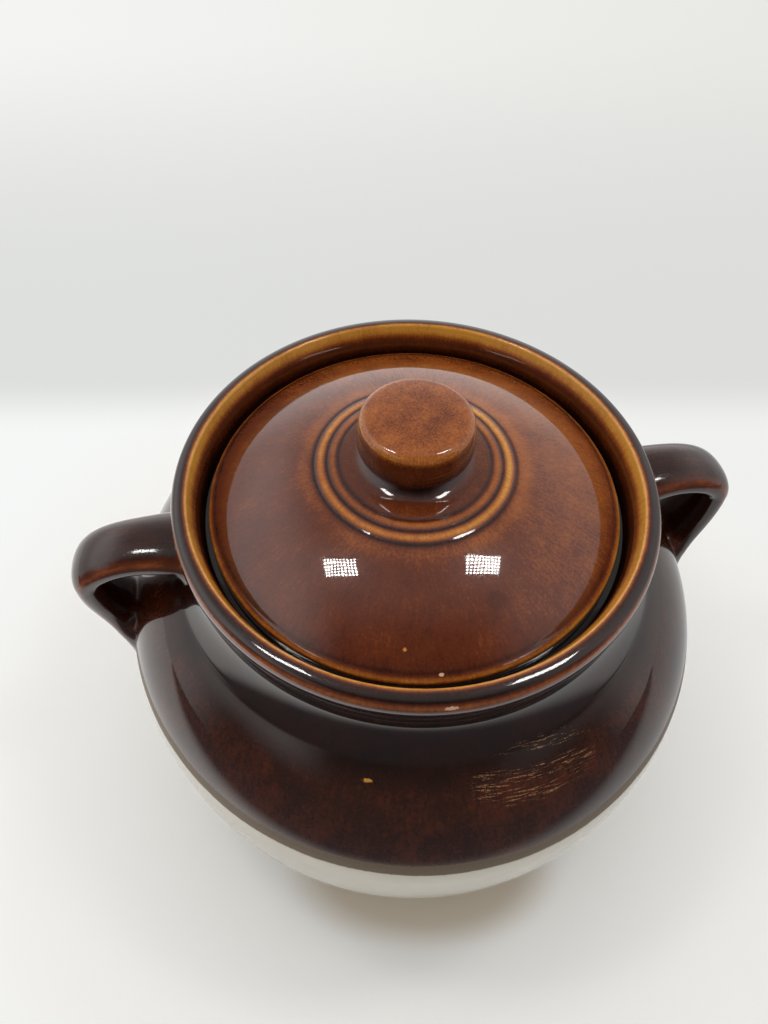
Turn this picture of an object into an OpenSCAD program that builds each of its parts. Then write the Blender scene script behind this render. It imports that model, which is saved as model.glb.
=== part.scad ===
// Stoneware bean pot with two strap handles and a loose knobbed lid.
// Millimetres, +Z up. The origin is the centre of the foot, on the table.
// The handles lie along X, and the lid lifts straight up along Z.

/* [Pot body] */
// Height of the pot body, from the table to the top of the rim
pot_height = 150; // [135:1:185]
// Largest radius of the belly
belly_radius = 94.4; // [88:0.2:104]
// Height of the belly's widest level above the table
belly_level = 86; // [74:1:94]
// Fullness of the belly curve: 2 is an ellipse, more is squarer
belly_fullness = 2.2; // [2:0.05:2.6]
// Thickness of the belly wall
wall = 6.4; // [5:0.1:8]
// Thickness of the floor, from the table to the inside
floor_thickness = 9; // [7:0.5:13]
// Radius that rounds the inside corner between wall and floor
floor_fillet = 14; // [8:1:20]

/* [Foot] */
// Outer radius of the foot
foot_radius = 63; // [54:0.5:72]
// Height of the foot's straight band
foot_band = 4; // [2.5:0.5:7]
// Bevel between the foot's band and its underside
foot_bevel = 1.4; // [0.5:0.1:2]
// Width of the flat ring that the pot rests on
foot_ring = 8; // [5:0.5:12]
// Depth of the recess under the floor
foot_recess = 1.6; // [0.8:0.1:3]

/* [Neck and rim] */
// Outer radius of the neck where it is narrowest
neck_radius = 69.2; // [64:0.1:73]
// Thickness of the neck's wall, from there to the wall round the ledge
neck_wall = 5.2; // [4.4:0.1:7]
// How far the neck's foot stands out, where it meets the shoulder
neck_root_flare = 5.2; // [3:0.2:9]
// Depth of the neck's foot below the rim's top
neck_root_drop = 28.6; // [26:0.2:34]
// Depth of the neck's narrowest level below the rim's top
neck_drop = 16; // [13:0.5:20]
// How far the rolled rim stands out from the neck
rim_overhang = 2.3; // [1.6:0.1:5]
// Depth of the rolled rim's lower edge below its top
rim_depth = 7.4; // [6:0.2:10]
// How far the sharp edge inside the rim stands out from the wall round the ledge
rim_edge_step = 2; // [1:0.1:3]
// Drop of that sharp edge below the rim's top
rim_edge_drop = 1.8; // [1:0.1:3]

/* [Seat for the lid] */
// Depth of the ledge that carries the lid, below the rim's top
ledge_drop = 13.6; // [11:0.2:17]
// Width of the ledge
ledge_width = 6; // [4.5:0.1:9]
// Depth of the straight lip under the ledge
mouth_lip = 5; // [3:0.5:8]

/* [Lid] */
// Clearance between the lid's edge and the wall round the ledge
lid_side_gap = 2.4; // [1:0.1:3]
// Clearance between the lid's rest face and the ledge
lid_seat_gap = 0.3; // [0.2:0.05:0.5]
// Thickness of the lid's rounded edge
lid_edge = 5.2; // [4:0.1:7]
// Radius that rounds the top of the lid's edge
lid_edge_round = 1.7; // [1:0.1:2.4]
// Radius that rounds the bottom of the lid's edge
lid_foot_round = 1; // [0.5:0.1:1.5]
// Rise of the dome above the lid's edge
dome_rise = 14.2; // [10:0.2:18]
// Shape of the dome: 2 is a plain bowl, more is flatter on top
dome_power = 2.6; // [2:0.1:3.2]
// Thickness of the dome
dome_thickness = 5; // [4:0.1:7]
// Clearance between the locating flange and the mouth
flange_gap = 1.2; // [0.6:0.1:2]
// Depth of the locating flange below the lid's rest face
flange_depth = 5; // [3:0.5:8]
// Thickness of the locating flange
flange_width = 4.2; // [3:0.1:6]

/* [Turned rings on the lid] */
// Radius of the outer groove
groove_outer = 29.4; // [27:0.1:32]
// Radius of the middle groove
groove_middle = 25.6; // [24.6:0.1:26.4]
// Radius of the inner groove
groove_inner = 22.2; // [20.5:0.1:23]
// Width of each groove
groove_width = 1.7; // [1:0.1:2]
// Depth of each groove
groove_depth = 0.8; // [0.4:0.1:1.2]
// Height of the beads that stand between the grooves
bead_height = 0.45; // [0.2:0.05:0.8]

/* [Knob] */
// Largest radius of the knob
knob_radius = 17; // [14:0.1:20]
// Radius of the knob's foot
knob_foot_radius = 12.3; // [10:0.1:13]
// Height of the knob above the lid
knob_height = 17.8; // [15:0.2:22]
// Height of the knob's widest level above its foot
knob_waist = 8.6; // [6:0.2:10]
// Radius that rounds the knob's upper edge
knob_round = 3.4; // [2:0.1:4.5]
// Crown of the knob's top face
knob_crown = 0.8; // [0.2:0.1:1.5]

/* [Handles] */
// Reach of the handles beyond the belly's largest radius
handle_overhang = 11.6; // [9:0.2:18]
// Depth of the strap's middle below the rim's top, where it leaves the neck
handle_drop = 20; // [17:0.2:22]
// How much lower the left handle was luted on than the right one
handle_sag = 3.6; // [0:0.2:4]
// Rise of the strap's arch above the place where it leaves the neck
handle_arch = 7; // [2:0.5:8]
// Drop from there to the level of the furthest reach
handle_bend = 5.2; // [2:0.2:8]
// Depth of the strap's lower end below the rim's top
handle_end_drop = 58; // [52:1:63]
// Width of the strap at its bend
handle_width = 18.4; // [14:0.2:24]
// Width of the strap at its lower end
handle_end_width = 22; // [14:0.5:26]
// Thickness of the strap
handle_thickness = 10; // [7:0.2:11]
// Depth that the strap's ends are luted into the wall
handle_luting = 3.4; // [2:0.1:4.4]
// How much wider and thicker the strap grows where it joins the pot
handle_flare = 0.22; // [0:0.01:0.3]

/* [Hidden] */
$fn = 96;

pot_brown = [0.25, 0.10, 0.06];
lid_brown = [0.42, 0.19, 0.09];
knob_brown = [0.55, 0.27, 0.08];

// Radii that follow the neck
neck_root_radius = neck_radius + neck_root_flare;
rim_radius = neck_radius + rim_overhang;
ledge_radius = neck_radius - neck_wall;
rim_edge_radius = ledge_radius + rim_edge_step;
mouth_radius = ledge_radius - ledge_width;

// Heights above the table that several pieces share
neck_root_z = pot_height - neck_root_drop;
neck_z = pot_height - neck_drop;
rim_low_z = pot_height - rim_depth;
rim_edge_z = pot_height - rim_edge_drop;
ledge_z = pot_height - ledge_drop;
lid_rest_z = ledge_z + lid_seat_gap;
lid_radius = ledge_radius - lid_side_gap;
lid_brow_z = lid_rest_z + lid_edge;

// Number of steps along each curve of a profile
curve_steps = 8;

// Half height of the superellipse that has half width a and passes
// the radius r at the distance z from its middle
function half_height(a, r, z, power) = z / pow(1 - pow(r / a, power), 1 / power);

// Points of a quadratic curve from a to c, drawn towards b
function bend(a, b, c, steps) =
    [for (i = [0:steps]) let (t = i / steps)
        (1 - t) * (1 - t) * a + 2 * t * (1 - t) * b + t * t * c];

// Points of a circular arc
function arc(centre, radius, from, to, steps) =
    [for (i = [0:steps]) let (angle = from + (to - from) * i / steps)
        centre + radius * [cos(angle), sin(angle)]];

// One point of a cubic curve, and its direction
function cubic(p, t) =
    pow(1 - t, 3) * p[0] + 3 * t * pow(1 - t, 2) * p[1]
    + 3 * t * t * (1 - t) * p[2] + pow(t, 3) * p[3];
function cubic_way(p, t) =
    let (way = pow(1 - t, 2) * (p[1] - p[0]) + 2 * t * (1 - t) * (p[2] - p[1])
        + t * t * (p[3] - p[2]))
    way / norm(way);

// ---- pot body ----
belly_low = half_height(belly_radius, foot_radius, belly_level - foot_band, belly_fullness);
belly_high = half_height(belly_radius, neck_root_radius, neck_root_z - belly_level,
    belly_fullness);
function belly_half(z) = z < belly_level ? belly_low : belly_high;

// Outer radius of the belly at the height z
function belly_at(z) =
    belly_radius * pow(1 - pow(abs(z - belly_level) / belly_half(z), belly_fullness),
        1 / belly_fullness);

// Outward direction of the belly's surface at a point of its profile
function belly_normal(p) =
    let (slope = pow(abs(p[1] - belly_level) / belly_half(p[1]), belly_fullness - 1)
            / belly_half(p[1]),
        across = pow(p[0] / belly_radius, belly_fullness - 1) / belly_radius,
        way = [across, p[1] < belly_level ? -slope : slope])
    way / norm(way);

belly_curve_steps = 24;
belly_profile = [for (i = [0:belly_curve_steps])
    let (z = foot_band + (neck_root_z - foot_band)
            * (1 - cos(180 * i / belly_curve_steps)) / 2)
    [belly_at(z), z]];

// The inside keeps the wall's thickness, above the rounded floor corner
inner_belly = [for (p = belly_profile)
    let (q = p - wall * belly_normal(p))
    if (q[1] > floor_thickness + floor_fillet / 2) q];
inner_low = inner_belly[0];
inner_high = inner_belly[len(inner_belly) - 1];

// The neck is a hollow curve from the shoulder to the rolled rim
neck_hollow = (neck_root_radius - neck_radius) / 4;
neck_side = bend([neck_root_radius, neck_root_z],
    [neck_radius - neck_hollow, neck_z - neck_drop / 5],
    [neck_radius, neck_z + neck_drop / 4], curve_steps);

// The rolled rim, from its lower edge over the top to the sharp inner edge
rim_undercut = 0.6; // how far the roll starts below its lower edge
rim_lip = 1.6; // height of the rounded lower edge
rim_batter = 0.2; // how far the lower edge stands in from the rim radius
rim_shoulder = 2; // width of the rounded outer corner
rim_flat = 0.8; // width of the nearly flat top
rim_side = [rim_radius - rim_batter, rim_low_z + rim_lip];
rim_corner = [rim_radius - rim_shoulder, pot_height - 0.3];
rim_top = [rim_corner[0] - rim_flat, pot_height];
rim_roll = concat(
    bend([neck_radius, rim_low_z - rim_undercut], [rim_radius - 0.6, rim_low_z - 0.4],
        rim_side, 4),
    bend(rim_side + [0, rim_undercut], [rim_radius + 0.1, pot_height - 1.4],
        rim_corner, 6),
    bend(rim_top, [rim_edge_radius + 1.2, pot_height],
        [rim_edge_radius, rim_edge_z], 5));

// Below the sharp edge the wall runs down to the ledge, the lip and the throat
edge_fall = [0.7, 1.6]; // how far the sharp edge falls in and down
ledge_corner = [0.6, 2]; // corner between the wall and the ledge
mouth_corner = 0.5; // corner between the ledge and the mouth
throat_flare = 2.5; // how far the throat widens below the lip
throat = concat(
    bend([rim_edge_radius, rim_edge_z] - edge_fall,
        [ledge_radius, rim_edge_z - 2.5 * edge_fall[1]],
        [ledge_radius, ledge_z + ledge_corner[1]], 5),
    [[ledge_radius - ledge_corner[0], ledge_z], [mouth_radius + mouth_corner, ledge_z]],
    [[mouth_radius, ledge_z - mouth_corner], [mouth_radius, ledge_z - mouth_lip]],
    bend([mouth_radius + 0.4, ledge_z - mouth_lip - 1],
        [mouth_radius + throat_flare, inner_high[1] + 3], inner_high, 5));

// The floor's corner starts steep and runs out flat
floor_curve = bend(inner_low,
    [inner_low[0] - floor_fillet * 0.45, floor_thickness],
    [inner_low[0] - floor_fillet * 1.7, floor_thickness], 6);

// Radii of the flat resting ring under the foot
rest_out = foot_radius - foot_bevel;
rest_in = rest_out - foot_ring;

module pot_body() {
    color(pot_brown)
        rotate_extrude()
            polygon(concat(
                [[0, foot_recess], [rest_in - foot_recess, foot_recess]],
                [[rest_in, 0], [rest_out, 0], [foot_radius, foot_bevel]],
                belly_profile,
                [for (i = [1:len(neck_side) - 1]) neck_side[i]],
                rim_roll,
                throat,
                [for (i = [len(inner_belly) - 2:-1:0]) inner_belly[i]],
                [for (i = [1:len(floor_curve) - 1]) floor_curve[i]],
                [[0, floor_thickness]]));
}

// ---- handles ----
// Outer radius of the belly or the neck at the height z
skin_table = [for (p = concat(belly_profile, neck_side)) [p[1], p[0]]];
function skin_at(z) = lookup(z, skin_table);

// The strap's middle line leaves the neck, arches, turns down at its reach
// and comes back to the belly, in the plane of the handle: [radius, height].
strap_out = belly_radius + handle_overhang - handle_thickness / 2;
strap_end_z = pot_height - handle_end_drop;
strap_end = [belly_at(strap_end_z) - handle_luting, strap_end_z];

// How far each curve's control points pull the line straight on
strap_pull_over = 16;
strap_pull_down = 11.4;
strap_pull_home = [6.9, 10.4];

function strap_upper(root_z) = [[neck_radius - handle_luting, root_z],
    [strap_out - strap_pull_over, root_z + handle_arch],
    [strap_out, root_z],
    [strap_out, root_z - handle_bend]];
function strap_lower(root_z) = [[strap_out, root_z - handle_bend],
    [strap_out, root_z - handle_bend - strap_pull_down],
    strap_end + strap_pull_home,
    strap_end];

strap_steps = 20;
strap_sides = 28;
strap_squareness = 2.7;

function signed_power(x, power) = sign(x) * pow(abs(x), power);

// One cross-section: its middle and its thickness direction lie in the
// handle's plane, and its width lies along Y. Nothing reaches deeper into
// the wall than the luting.
function strap_ring(p, t, width, thick) =
    let (middle = cubic(p, t), way = cubic_way(p, t), up = [-way[1], way[0]])
    [for (k = [0:strap_sides - 1])
        let (angle = 360 * k / strap_sides,
            across = width / 2 * signed_power(cos(angle), 2 / strap_squareness),
            rise = thick / 2 * signed_power(sin(angle), 2 / strap_squareness),
            q = middle + rise * up)
        [max(q[0], skin_at(q[1]) - handle_luting), across, q[1]]];

// The strap grows towards its joint with the pot, at the distance t
flare_reach = 0.22;
function flare(t) = 1 + handle_flare * exp(-pow(t / flare_reach, 2));

function strap_rings(root_z) = concat(
    [for (i = [0:strap_steps]) let (t = i / strap_steps)
        strap_ring(strap_upper(root_z), t,
            handle_width * flare(t), handle_thickness * flare(t))],
    [for (i = [1:strap_steps]) let (t = i / strap_steps)
        strap_ring(strap_lower(root_z), t,
            (handle_width + (handle_end_width - handle_width) * t) * flare(1 - t),
            handle_thickness * flare(1 - t))]);

// An end cap of strips that run straight across the width
function cap(first, facing) =
    [for (k = [-strap_sides / 4:strap_sides / 4 - 1])
        let (a = (k + strap_sides) % strap_sides,
            b = (k + 1 + strap_sides) % strap_sides,
            c = (strap_sides / 2 - k - 1) % strap_sides,
            d = (strap_sides / 2 - k) % strap_sides,
            strip = a == d ? [a, b, c] : b == c ? [a, b, d] : [a, b, c, d])
        facing > 0 ? [for (i = strip) first + i]
            : [for (i = [len(strip) - 1:-1:0]) first + strip[i]]];

module strap(root_z) {
    rings = strap_rings(root_z);
    points = [for (ring = rings) for (p = ring) p];
    sides = [for (i = [0:len(rings) - 2]) for (k = [0:strap_sides - 1])
        let (a = i * strap_sides + k,
            b = i * strap_sides + (k + 1) % strap_sides,
            c = a + strap_sides,
            d = b + strap_sides)
        for (face = [[a, d, b], [a, c, d]]) face];
    polyhedron(points = points,
        faces = concat(cap(0, 1), cap((len(rings) - 1) * strap_sides, -1), sides),
        convexity = 6);
}

handle_root_z = pot_height - handle_drop;

module handle_right() {
    color(pot_brown) strap(handle_root_z);
}

module handle_left() {
    color(pot_brown) rotate([0, 0, 180]) strap(handle_root_z - handle_sag);
}

// ---- lid ----
dome_radius = lid_radius - lid_edge_round;
lid_top_z = lid_brow_z + dome_rise;

// Height of the plain dome at the radius r
function dome_at(r) = lid_top_z - dome_rise * pow(r / dome_radius, dome_power);

// Bell that is 1 at its middle and fades to 0 over its width
function bell(x, width) = abs(x) >= width ? 0 : (1 + cos(180 * x / width)) / 2;

// Grooves cut down from the dome, and beads between them
bead_outer = (groove_outer + groove_middle) / 2;
bead_inner = (groove_middle + groove_inner) / 2;
function ring_relief(r) =
    bead_height * (bell(r - bead_outer, (groove_outer - groove_middle) / 2)
        + bell(r - bead_inner, (groove_middle - groove_inner) / 2))
    - groove_depth * (bell(r - groove_outer, groove_width / 2)
        + bell(r - groove_middle, groove_width / 2)
        + bell(r - groove_inner, groove_width / 2));

ring_zone_in = groove_inner - groove_width / 2;
ring_zone_out = groove_outer + groove_width / 2;
ring_steps = 40;
knob_seat_radius = knob_foot_radius + 1;
knob_seat_z = dome_at(knob_seat_radius);

dome_outer_steps = 14;
dome_profile = concat(
    [for (i = [0:3])
        let (r = knob_seat_radius + (ring_zone_in - knob_seat_radius) * i / 4)
        [r, dome_at(r)]],
    [for (i = [0:ring_steps])
        let (r = ring_zone_in + (ring_zone_out - ring_zone_in) * i / ring_steps)
        [r, dome_at(r) + ring_relief(r)]],
    [for (i = [1:dome_outer_steps - 1])
        let (r = ring_zone_out + (dome_radius - ring_zone_out) * i / dome_outer_steps)
        [r, dome_at(r)]]);

// The edge is rounded above and below and ends at the flat rest face
lid_edge_profile = concat(
    bend([dome_radius, lid_brow_z], [lid_radius, lid_brow_z - 0.6],
        [lid_radius, lid_brow_z - lid_edge_round - 0.4], 6),
    bend([lid_radius, lid_rest_z + lid_foot_round], [lid_radius, lid_rest_z],
        [lid_radius - lid_foot_round, lid_rest_z], 4));

// Underneath, the flange hangs inside the mouth and the dome is hollow
flange_radius = mouth_radius - flange_gap;
flange_in = flange_radius - flange_width;
flange_low_z = lid_rest_z - flange_depth;
hollow_steps = 14;
hollow_profile = [for (i = [0:hollow_steps])
    let (r = (flange_in - 1) * (1 - i / hollow_steps))
    [r, dome_at(r) - dome_thickness]];

module lid() {
    color(lid_brown)
        rotate_extrude()
            polygon(concat(
                [[0, knob_seat_z]],
                dome_profile,
                lid_edge_profile,
                [[flange_radius, lid_rest_z], [flange_radius, flange_low_z + 1]],
                [[flange_radius - 1, flange_low_z], [flange_in + 1, flange_low_z]],
                [[flange_in, flange_low_z + 1]],
                hollow_profile));
}

// ---- knob ----
knob_top_z = knob_seat_z + knob_height;
knob_side_z = knob_top_z - knob_crown - knob_round;
knob_side = knob_radius - 0.1; // radius just under the rounded edge
knob_face = knob_side - knob_round; // radius of the top face
knob_profile = concat(
    bend([knob_foot_radius, knob_seat_z], [knob_foot_radius + 1, knob_seat_z + 3],
        [knob_radius - 1.2, knob_seat_z + knob_waist * 0.68], 8),
    bend([knob_radius - 0.6, knob_seat_z + knob_waist * 0.82],
        [knob_radius, knob_seat_z + knob_waist],
        [knob_side, knob_side_z], 6),
    arc([knob_face, knob_side_z], knob_round, 12, 78, 8),
    bend([knob_face, knob_side_z + knob_round],
        [knob_radius / 2, knob_top_z], [0, knob_top_z], 8));

module lid_knob() {
    color(knob_brown)
        rotate_extrude()
            polygon(concat([[0, knob_seat_z]], knob_profile));
}

pot_body();
handle_left();
handle_right();
lid();
lid_knob();
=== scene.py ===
"""Stoneware bean pot: a glazed, round-bellied pot with two strap handles and a loose lid.

The frame holds the pot's solids at their real size. Each piece here is a finer surface
of the same size that stands for one solid: bodies of revolution for the pot, the lid and
the knob, and a strap swept along a curve for each handle. All sizes are in metres.
"""

import math
from typing import NamedTuple

import bpy
import numpy as np
from bpy.props import FloatProperty, FloatVectorProperty, PointerProperty
from mathutils import Matrix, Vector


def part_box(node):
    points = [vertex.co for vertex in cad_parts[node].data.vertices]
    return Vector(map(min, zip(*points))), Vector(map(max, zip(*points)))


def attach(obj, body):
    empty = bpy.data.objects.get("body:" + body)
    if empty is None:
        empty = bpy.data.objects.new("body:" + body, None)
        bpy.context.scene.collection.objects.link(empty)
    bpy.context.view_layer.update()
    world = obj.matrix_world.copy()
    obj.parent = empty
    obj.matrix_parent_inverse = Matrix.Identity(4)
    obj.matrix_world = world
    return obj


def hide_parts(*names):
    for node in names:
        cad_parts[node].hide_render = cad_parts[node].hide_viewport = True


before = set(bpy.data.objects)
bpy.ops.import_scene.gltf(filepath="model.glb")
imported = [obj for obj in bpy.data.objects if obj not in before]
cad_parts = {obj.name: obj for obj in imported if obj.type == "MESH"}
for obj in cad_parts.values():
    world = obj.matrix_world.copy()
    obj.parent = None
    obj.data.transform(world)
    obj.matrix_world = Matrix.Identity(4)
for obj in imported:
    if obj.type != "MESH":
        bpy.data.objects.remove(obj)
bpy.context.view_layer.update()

bl_info = {
    "name": "Stoneware Bean Pot",
    "version": (1, 0, 0),
    "blender": (4, 5, 0),
    "location": "View3D > Sidebar > Bean Pot",
    "description": "Adds a glazed stoneware bean pot, its handles, its lid and a studio",
    "category": "Add Mesh",
}

MM = 0.001


# ---- Sizes and colours that a user may change ----


def length(name, about, default):
    """A size in metres for the sidebar."""
    return FloatProperty(name=name, description=about, default=default, min=0.0,
                         precision=4, unit="LENGTH", subtype="DISTANCE")


def factor(name, about, default, high=4.0):
    """A plain number for the sidebar."""
    return FloatProperty(name=name, description=about, default=default, min=0.0, max=high)


def colour(name, about, default):
    """A colour for the sidebar."""
    return FloatVectorProperty(name=name, description=about, default=default, size=3,
                               min=0.0, max=1.0, subtype="COLOR")


_, pot_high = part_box("pot_body")
_, lid_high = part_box("lid")
knob_low, knob_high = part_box("lid_knob")
_, right_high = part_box("handle_right")


class BEANPOT_PG_pot(bpy.types.PropertyGroup):
    """Sizes of the pot's body."""

    height: length("Height", "From the table to the top of the rim", pot_high.z)
    belly_radius: length("Belly radius", "Largest radius of the belly", pot_high.x)
    belly_level: length("Belly level", "Height of the belly's widest level", 0.086)
    belly_fullness: factor("Belly fullness", "2 is an ellipse, more is squarer", 2.2)
    wall: length("Wall", "Thickness of the belly's wall", 0.0064)
    floor: length("Floor", "Height of the inside of the floor", 0.009)
    foot_radius: length("Foot radius", "Outer radius of the foot", 0.063)
    foot_band: length("Foot band", "Height of the foot's straight band", 0.004)
    foot_ring: length("Foot ring", "Width of the ring that the pot rests on", 0.008)
    foot_recess: length("Foot recess", "Depth of the recess under the floor", 0.0016)
    neck_radius: length("Neck radius", "Outer radius where the neck is narrowest", 0.0692)
    neck_drop: length("Neck drop", "Depth of that level below the rim", 0.016)
    root_radius: length("Root radius", "Outer radius where neck and shoulder meet", 0.0744)
    root_drop: length("Root drop", "Depth of that level below the rim", 0.0286)
    rim_radius: length("Rim radius", "Outer radius of the rolled rim", 0.0715)
    rim_depth: length("Rim depth", "Depth of the rim's lower edge below its top", 0.0074)
    rim_edge_radius: length("Rim edge radius", "Radius of the sharp inner edge", 0.066)
    rim_edge_drop: length("Rim edge drop", "Depth of the sharp inner edge", 0.0018)
    ledge_drop: length("Ledge drop", "Depth of the ledge that carries the lid", 0.0136)
    ledge_radius: length("Ledge radius", "Radius of the wall round the ledge", 0.064)
    mouth_radius: length("Mouth radius", "Radius of the mouth inside the ledge", 0.058)
    mouth_lip: length("Mouth lip", "Depth of the straight lip under the ledge", 0.005)
    glaze_line: length("Glaze line", "Height where the cream glaze ends", 0.0946)
    line_band: length("Line band", "Height of the matt band above the cream", 0.0046)


class BEANPOT_PG_handles(bpy.types.PropertyGroup):
    """Sizes of the two strap handles."""

    reach: length("Reach", "Reach of the handles from the pot's axis", right_high.x)
    drop: length("Drop", "Depth of the strap's root below the rim's top", 0.020)
    sag: length("Sag", "How much lower the left handle was luted on", 0.0036)
    arch: length("Arch", "Rise of the strap's arch above its root", 0.007)
    turn: length("Turn", "Drop from the root to the level of the reach", 0.0052)
    end_drop: length("End drop", "Depth of the strap's lower end below the rim", 0.058)
    width: length("Width", "Width of the strap at its bend", 0.0184)
    end_width: length("End width", "Width of the strap at its lower end", 0.022)
    thickness: length("Thickness", "Thickness of the strap", 0.010)
    luting: length("Luting", "Depth of the strap's ends in the wall", 0.0034)
    flare: factor("Flare", "How much the strap grows towards its joints", 0.22)
    fillet: length("Fillet", "Radius of the smoothed clay round each joint", 0.0036)


class BEANPOT_PG_lid(bpy.types.PropertyGroup):
    """Sizes of the lid."""

    radius: length("Radius", "Outer radius of the lid", lid_high.x)
    rest: length("Rest height", "Height of the lid's rest face", 0.1367)
    edge: length("Edge", "Thickness of the lid's rounded edge", 0.0052)
    edge_round: length("Edge round", "Radius at the top of the edge", 0.0017)
    foot_round: length("Foot round", "Radius at the bottom of the edge", 0.001)
    rise: length("Rise", "Rise of the dome above the edge", 0.0142)
    power: factor("Dome power", "2 is a plain bowl, more is flatter on top", 2.6)
    thickness: length("Thickness", "Thickness of the dome", 0.005)
    flange_radius: length("Flange radius", "Outer radius of the locating flange", 0.0568)
    flange_width: length("Flange width", "Thickness of the flange", 0.0042)
    groove_outer: length("Outer groove", "Radius of the outer groove", 0.0294)
    groove_middle: length("Middle groove", "Radius of the middle groove", 0.0256)
    groove_inner: length("Inner groove", "Radius of the inner groove", 0.0222)
    groove_width: length("Groove width", "Width of each groove", 0.0017)
    groove_depth: length("Groove depth", "Depth left in each glazed groove", 0.0001)
    bead: length("Bead", "Height of the beads between the grooves", 0.00005)
    cove: length("Cove", "Radius of the lid's rise to the knob", 0.0085)
    cove_reach: length("Cove reach", "Radius where that rise begins", 0.0188)


class BEANPOT_PG_knob(bpy.types.PropertyGroup):
    """Sizes of the knob."""

    radius: length("Radius", "Largest radius of the knob", knob_high.x)
    foot_radius: length("Foot radius", "Radius of the knob's foot", 0.0136)
    waist: length("Waist", "Height where the side turns upright", 0.0062)
    edge_round: length("Edge round", "Radius of the knob's upper edge", 0.0027)
    crown: length("Crown", "Crown of the knob's top face", 0.0008)


class BEANPOT_PG_glaze(bpy.types.PropertyGroup):
    """Colours of the glazes and the clay, from thick glaze to thin."""

    pooled: colour("Pooled", "Glaze that has pooled thick", (0.006, 0.0025, 0.0015))
    deep: colour("Deep", "Glaze of the shoulder", (0.024, 0.0050, 0.0018))
    red: colour("Red", "Glaze of the lid", (0.096, 0.0190, 0.0045))
    orange: colour("Orange", "Glaze of the knob", (0.285, 0.078, 0.0110))
    amber: colour("Amber", "Glaze that has run thin over an edge", (0.540, 0.245, 0.035))
    line: colour("Line", "Matt band where the two glazes meet", (0.125, 0.074, 0.028))
    cream: colour("Cream", "Glaze of the lower belly", (0.54, 0.480, 0.370))
    clay: colour("Clay", "Bare clay of the foot", (0.47, 0.36, 0.25))
    speck: colour("Speck", "Iron specks in the glaze", (0.006, 0.003, 0.002))
    chip: colour("Chip", "Body shown by a small chip", (0.62, 0.36, 0.24))
    gloss: factor("Gloss", "Roughness of the glossy glaze", 0.035, 1.0)


class BEANPOT_PG_studio(bpy.types.PropertyGroup):
    """Light, floor and camera."""

    floor: colour("Floor", "Colour of the floor", (0.84, 0.835, 0.815))
    wall: colour("Wall", "Colour of the far background", (0.735, 0.745, 0.725))
    panel_light: factor("Panel light", "Brightness of the lamp panels", 26.0, 100.0)
    panel_height: length("Panel height", "Height of the lamp panels", 0.50)
    room_light: factor("Room light", "Brightness of the pale walls", 1.1)
    soft_low: factor("Soft light, low", "Light from the walls on matt surfaces", 0.24)
    soft_high: factor("Soft light, high", "Light from above on matt surfaces", 1.36)
    lens: factor("Lens", "Focal length of the camera in millimetres", 26.0, 200.0)


class BEANPOT_PG_settings(bpy.types.PropertyGroup):
    """All settings of the bean pot."""

    pot: PointerProperty(type=BEANPOT_PG_pot)
    handles: PointerProperty(type=BEANPOT_PG_handles)
    lid: PointerProperty(type=BEANPOT_PG_lid)
    knob: PointerProperty(type=BEANPOT_PG_knob)
    glaze: PointerProperty(type=BEANPOT_PG_glaze)
    studio: PointerProperty(type=BEANPOT_PG_studio)


# ---- Curves ----

CURVE_STEPS = 32
PROFILE_STEP = 0.05 * MM
BELL_WIDTHS = 4


def bend(a, b, c):
    """Points (1-t)^2 a + 2t(1-t) b + t^2 c of a curve from a to c, drawn towards b."""
    t = np.linspace(0.0, 1.0, CURVE_STEPS)[:, None]
    return (1 - t) ** 2 * np.array(a) + 2 * t * (1 - t) * np.array(b) + t ** 2 * np.array(c)


def arc(centre, radius, start, end):
    """Points centre + radius (cos, sin) of an angle that runs from start to end degrees."""
    angle = np.radians(np.linspace(start, end, CURVE_STEPS))[:, None]
    return np.array(centre) + radius * np.concatenate([np.cos(angle), np.sin(angle)], 1)


def cubic(p, t):
    """Point and unit direction of the cubic curve with control points p at the shares t."""
    t = np.asarray(t)[:, None]
    p = [np.array(q) for q in p]
    point = ((1 - t) ** 3 * p[0] + 3 * t * (1 - t) ** 2 * p[1]
             + 3 * t ** 2 * (1 - t) * p[2] + t ** 3 * p[3])
    way = (1 - t) ** 2 * (p[1] - p[0]) + 2 * t * (1 - t) * (p[2] - p[1]) + t ** 2 * (p[3] - p[2])
    return point, way / np.linalg.norm(way, axis=1, keepdims=True)


def along(points):
    """Distance along a line of points from its start."""
    return np.concatenate([[0.0], np.cumsum(np.linalg.norm(np.diff(points, axis=0), axis=1))])


def outward(line):
    """Unit normals (z', -r') of a profile (r, z) that runs upwards."""
    way = np.gradient(line, axis=0)
    way /= np.linalg.norm(way, axis=1, keepdims=True)
    return np.stack([way[:, 1], -way[:, 0]], 1)


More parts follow.
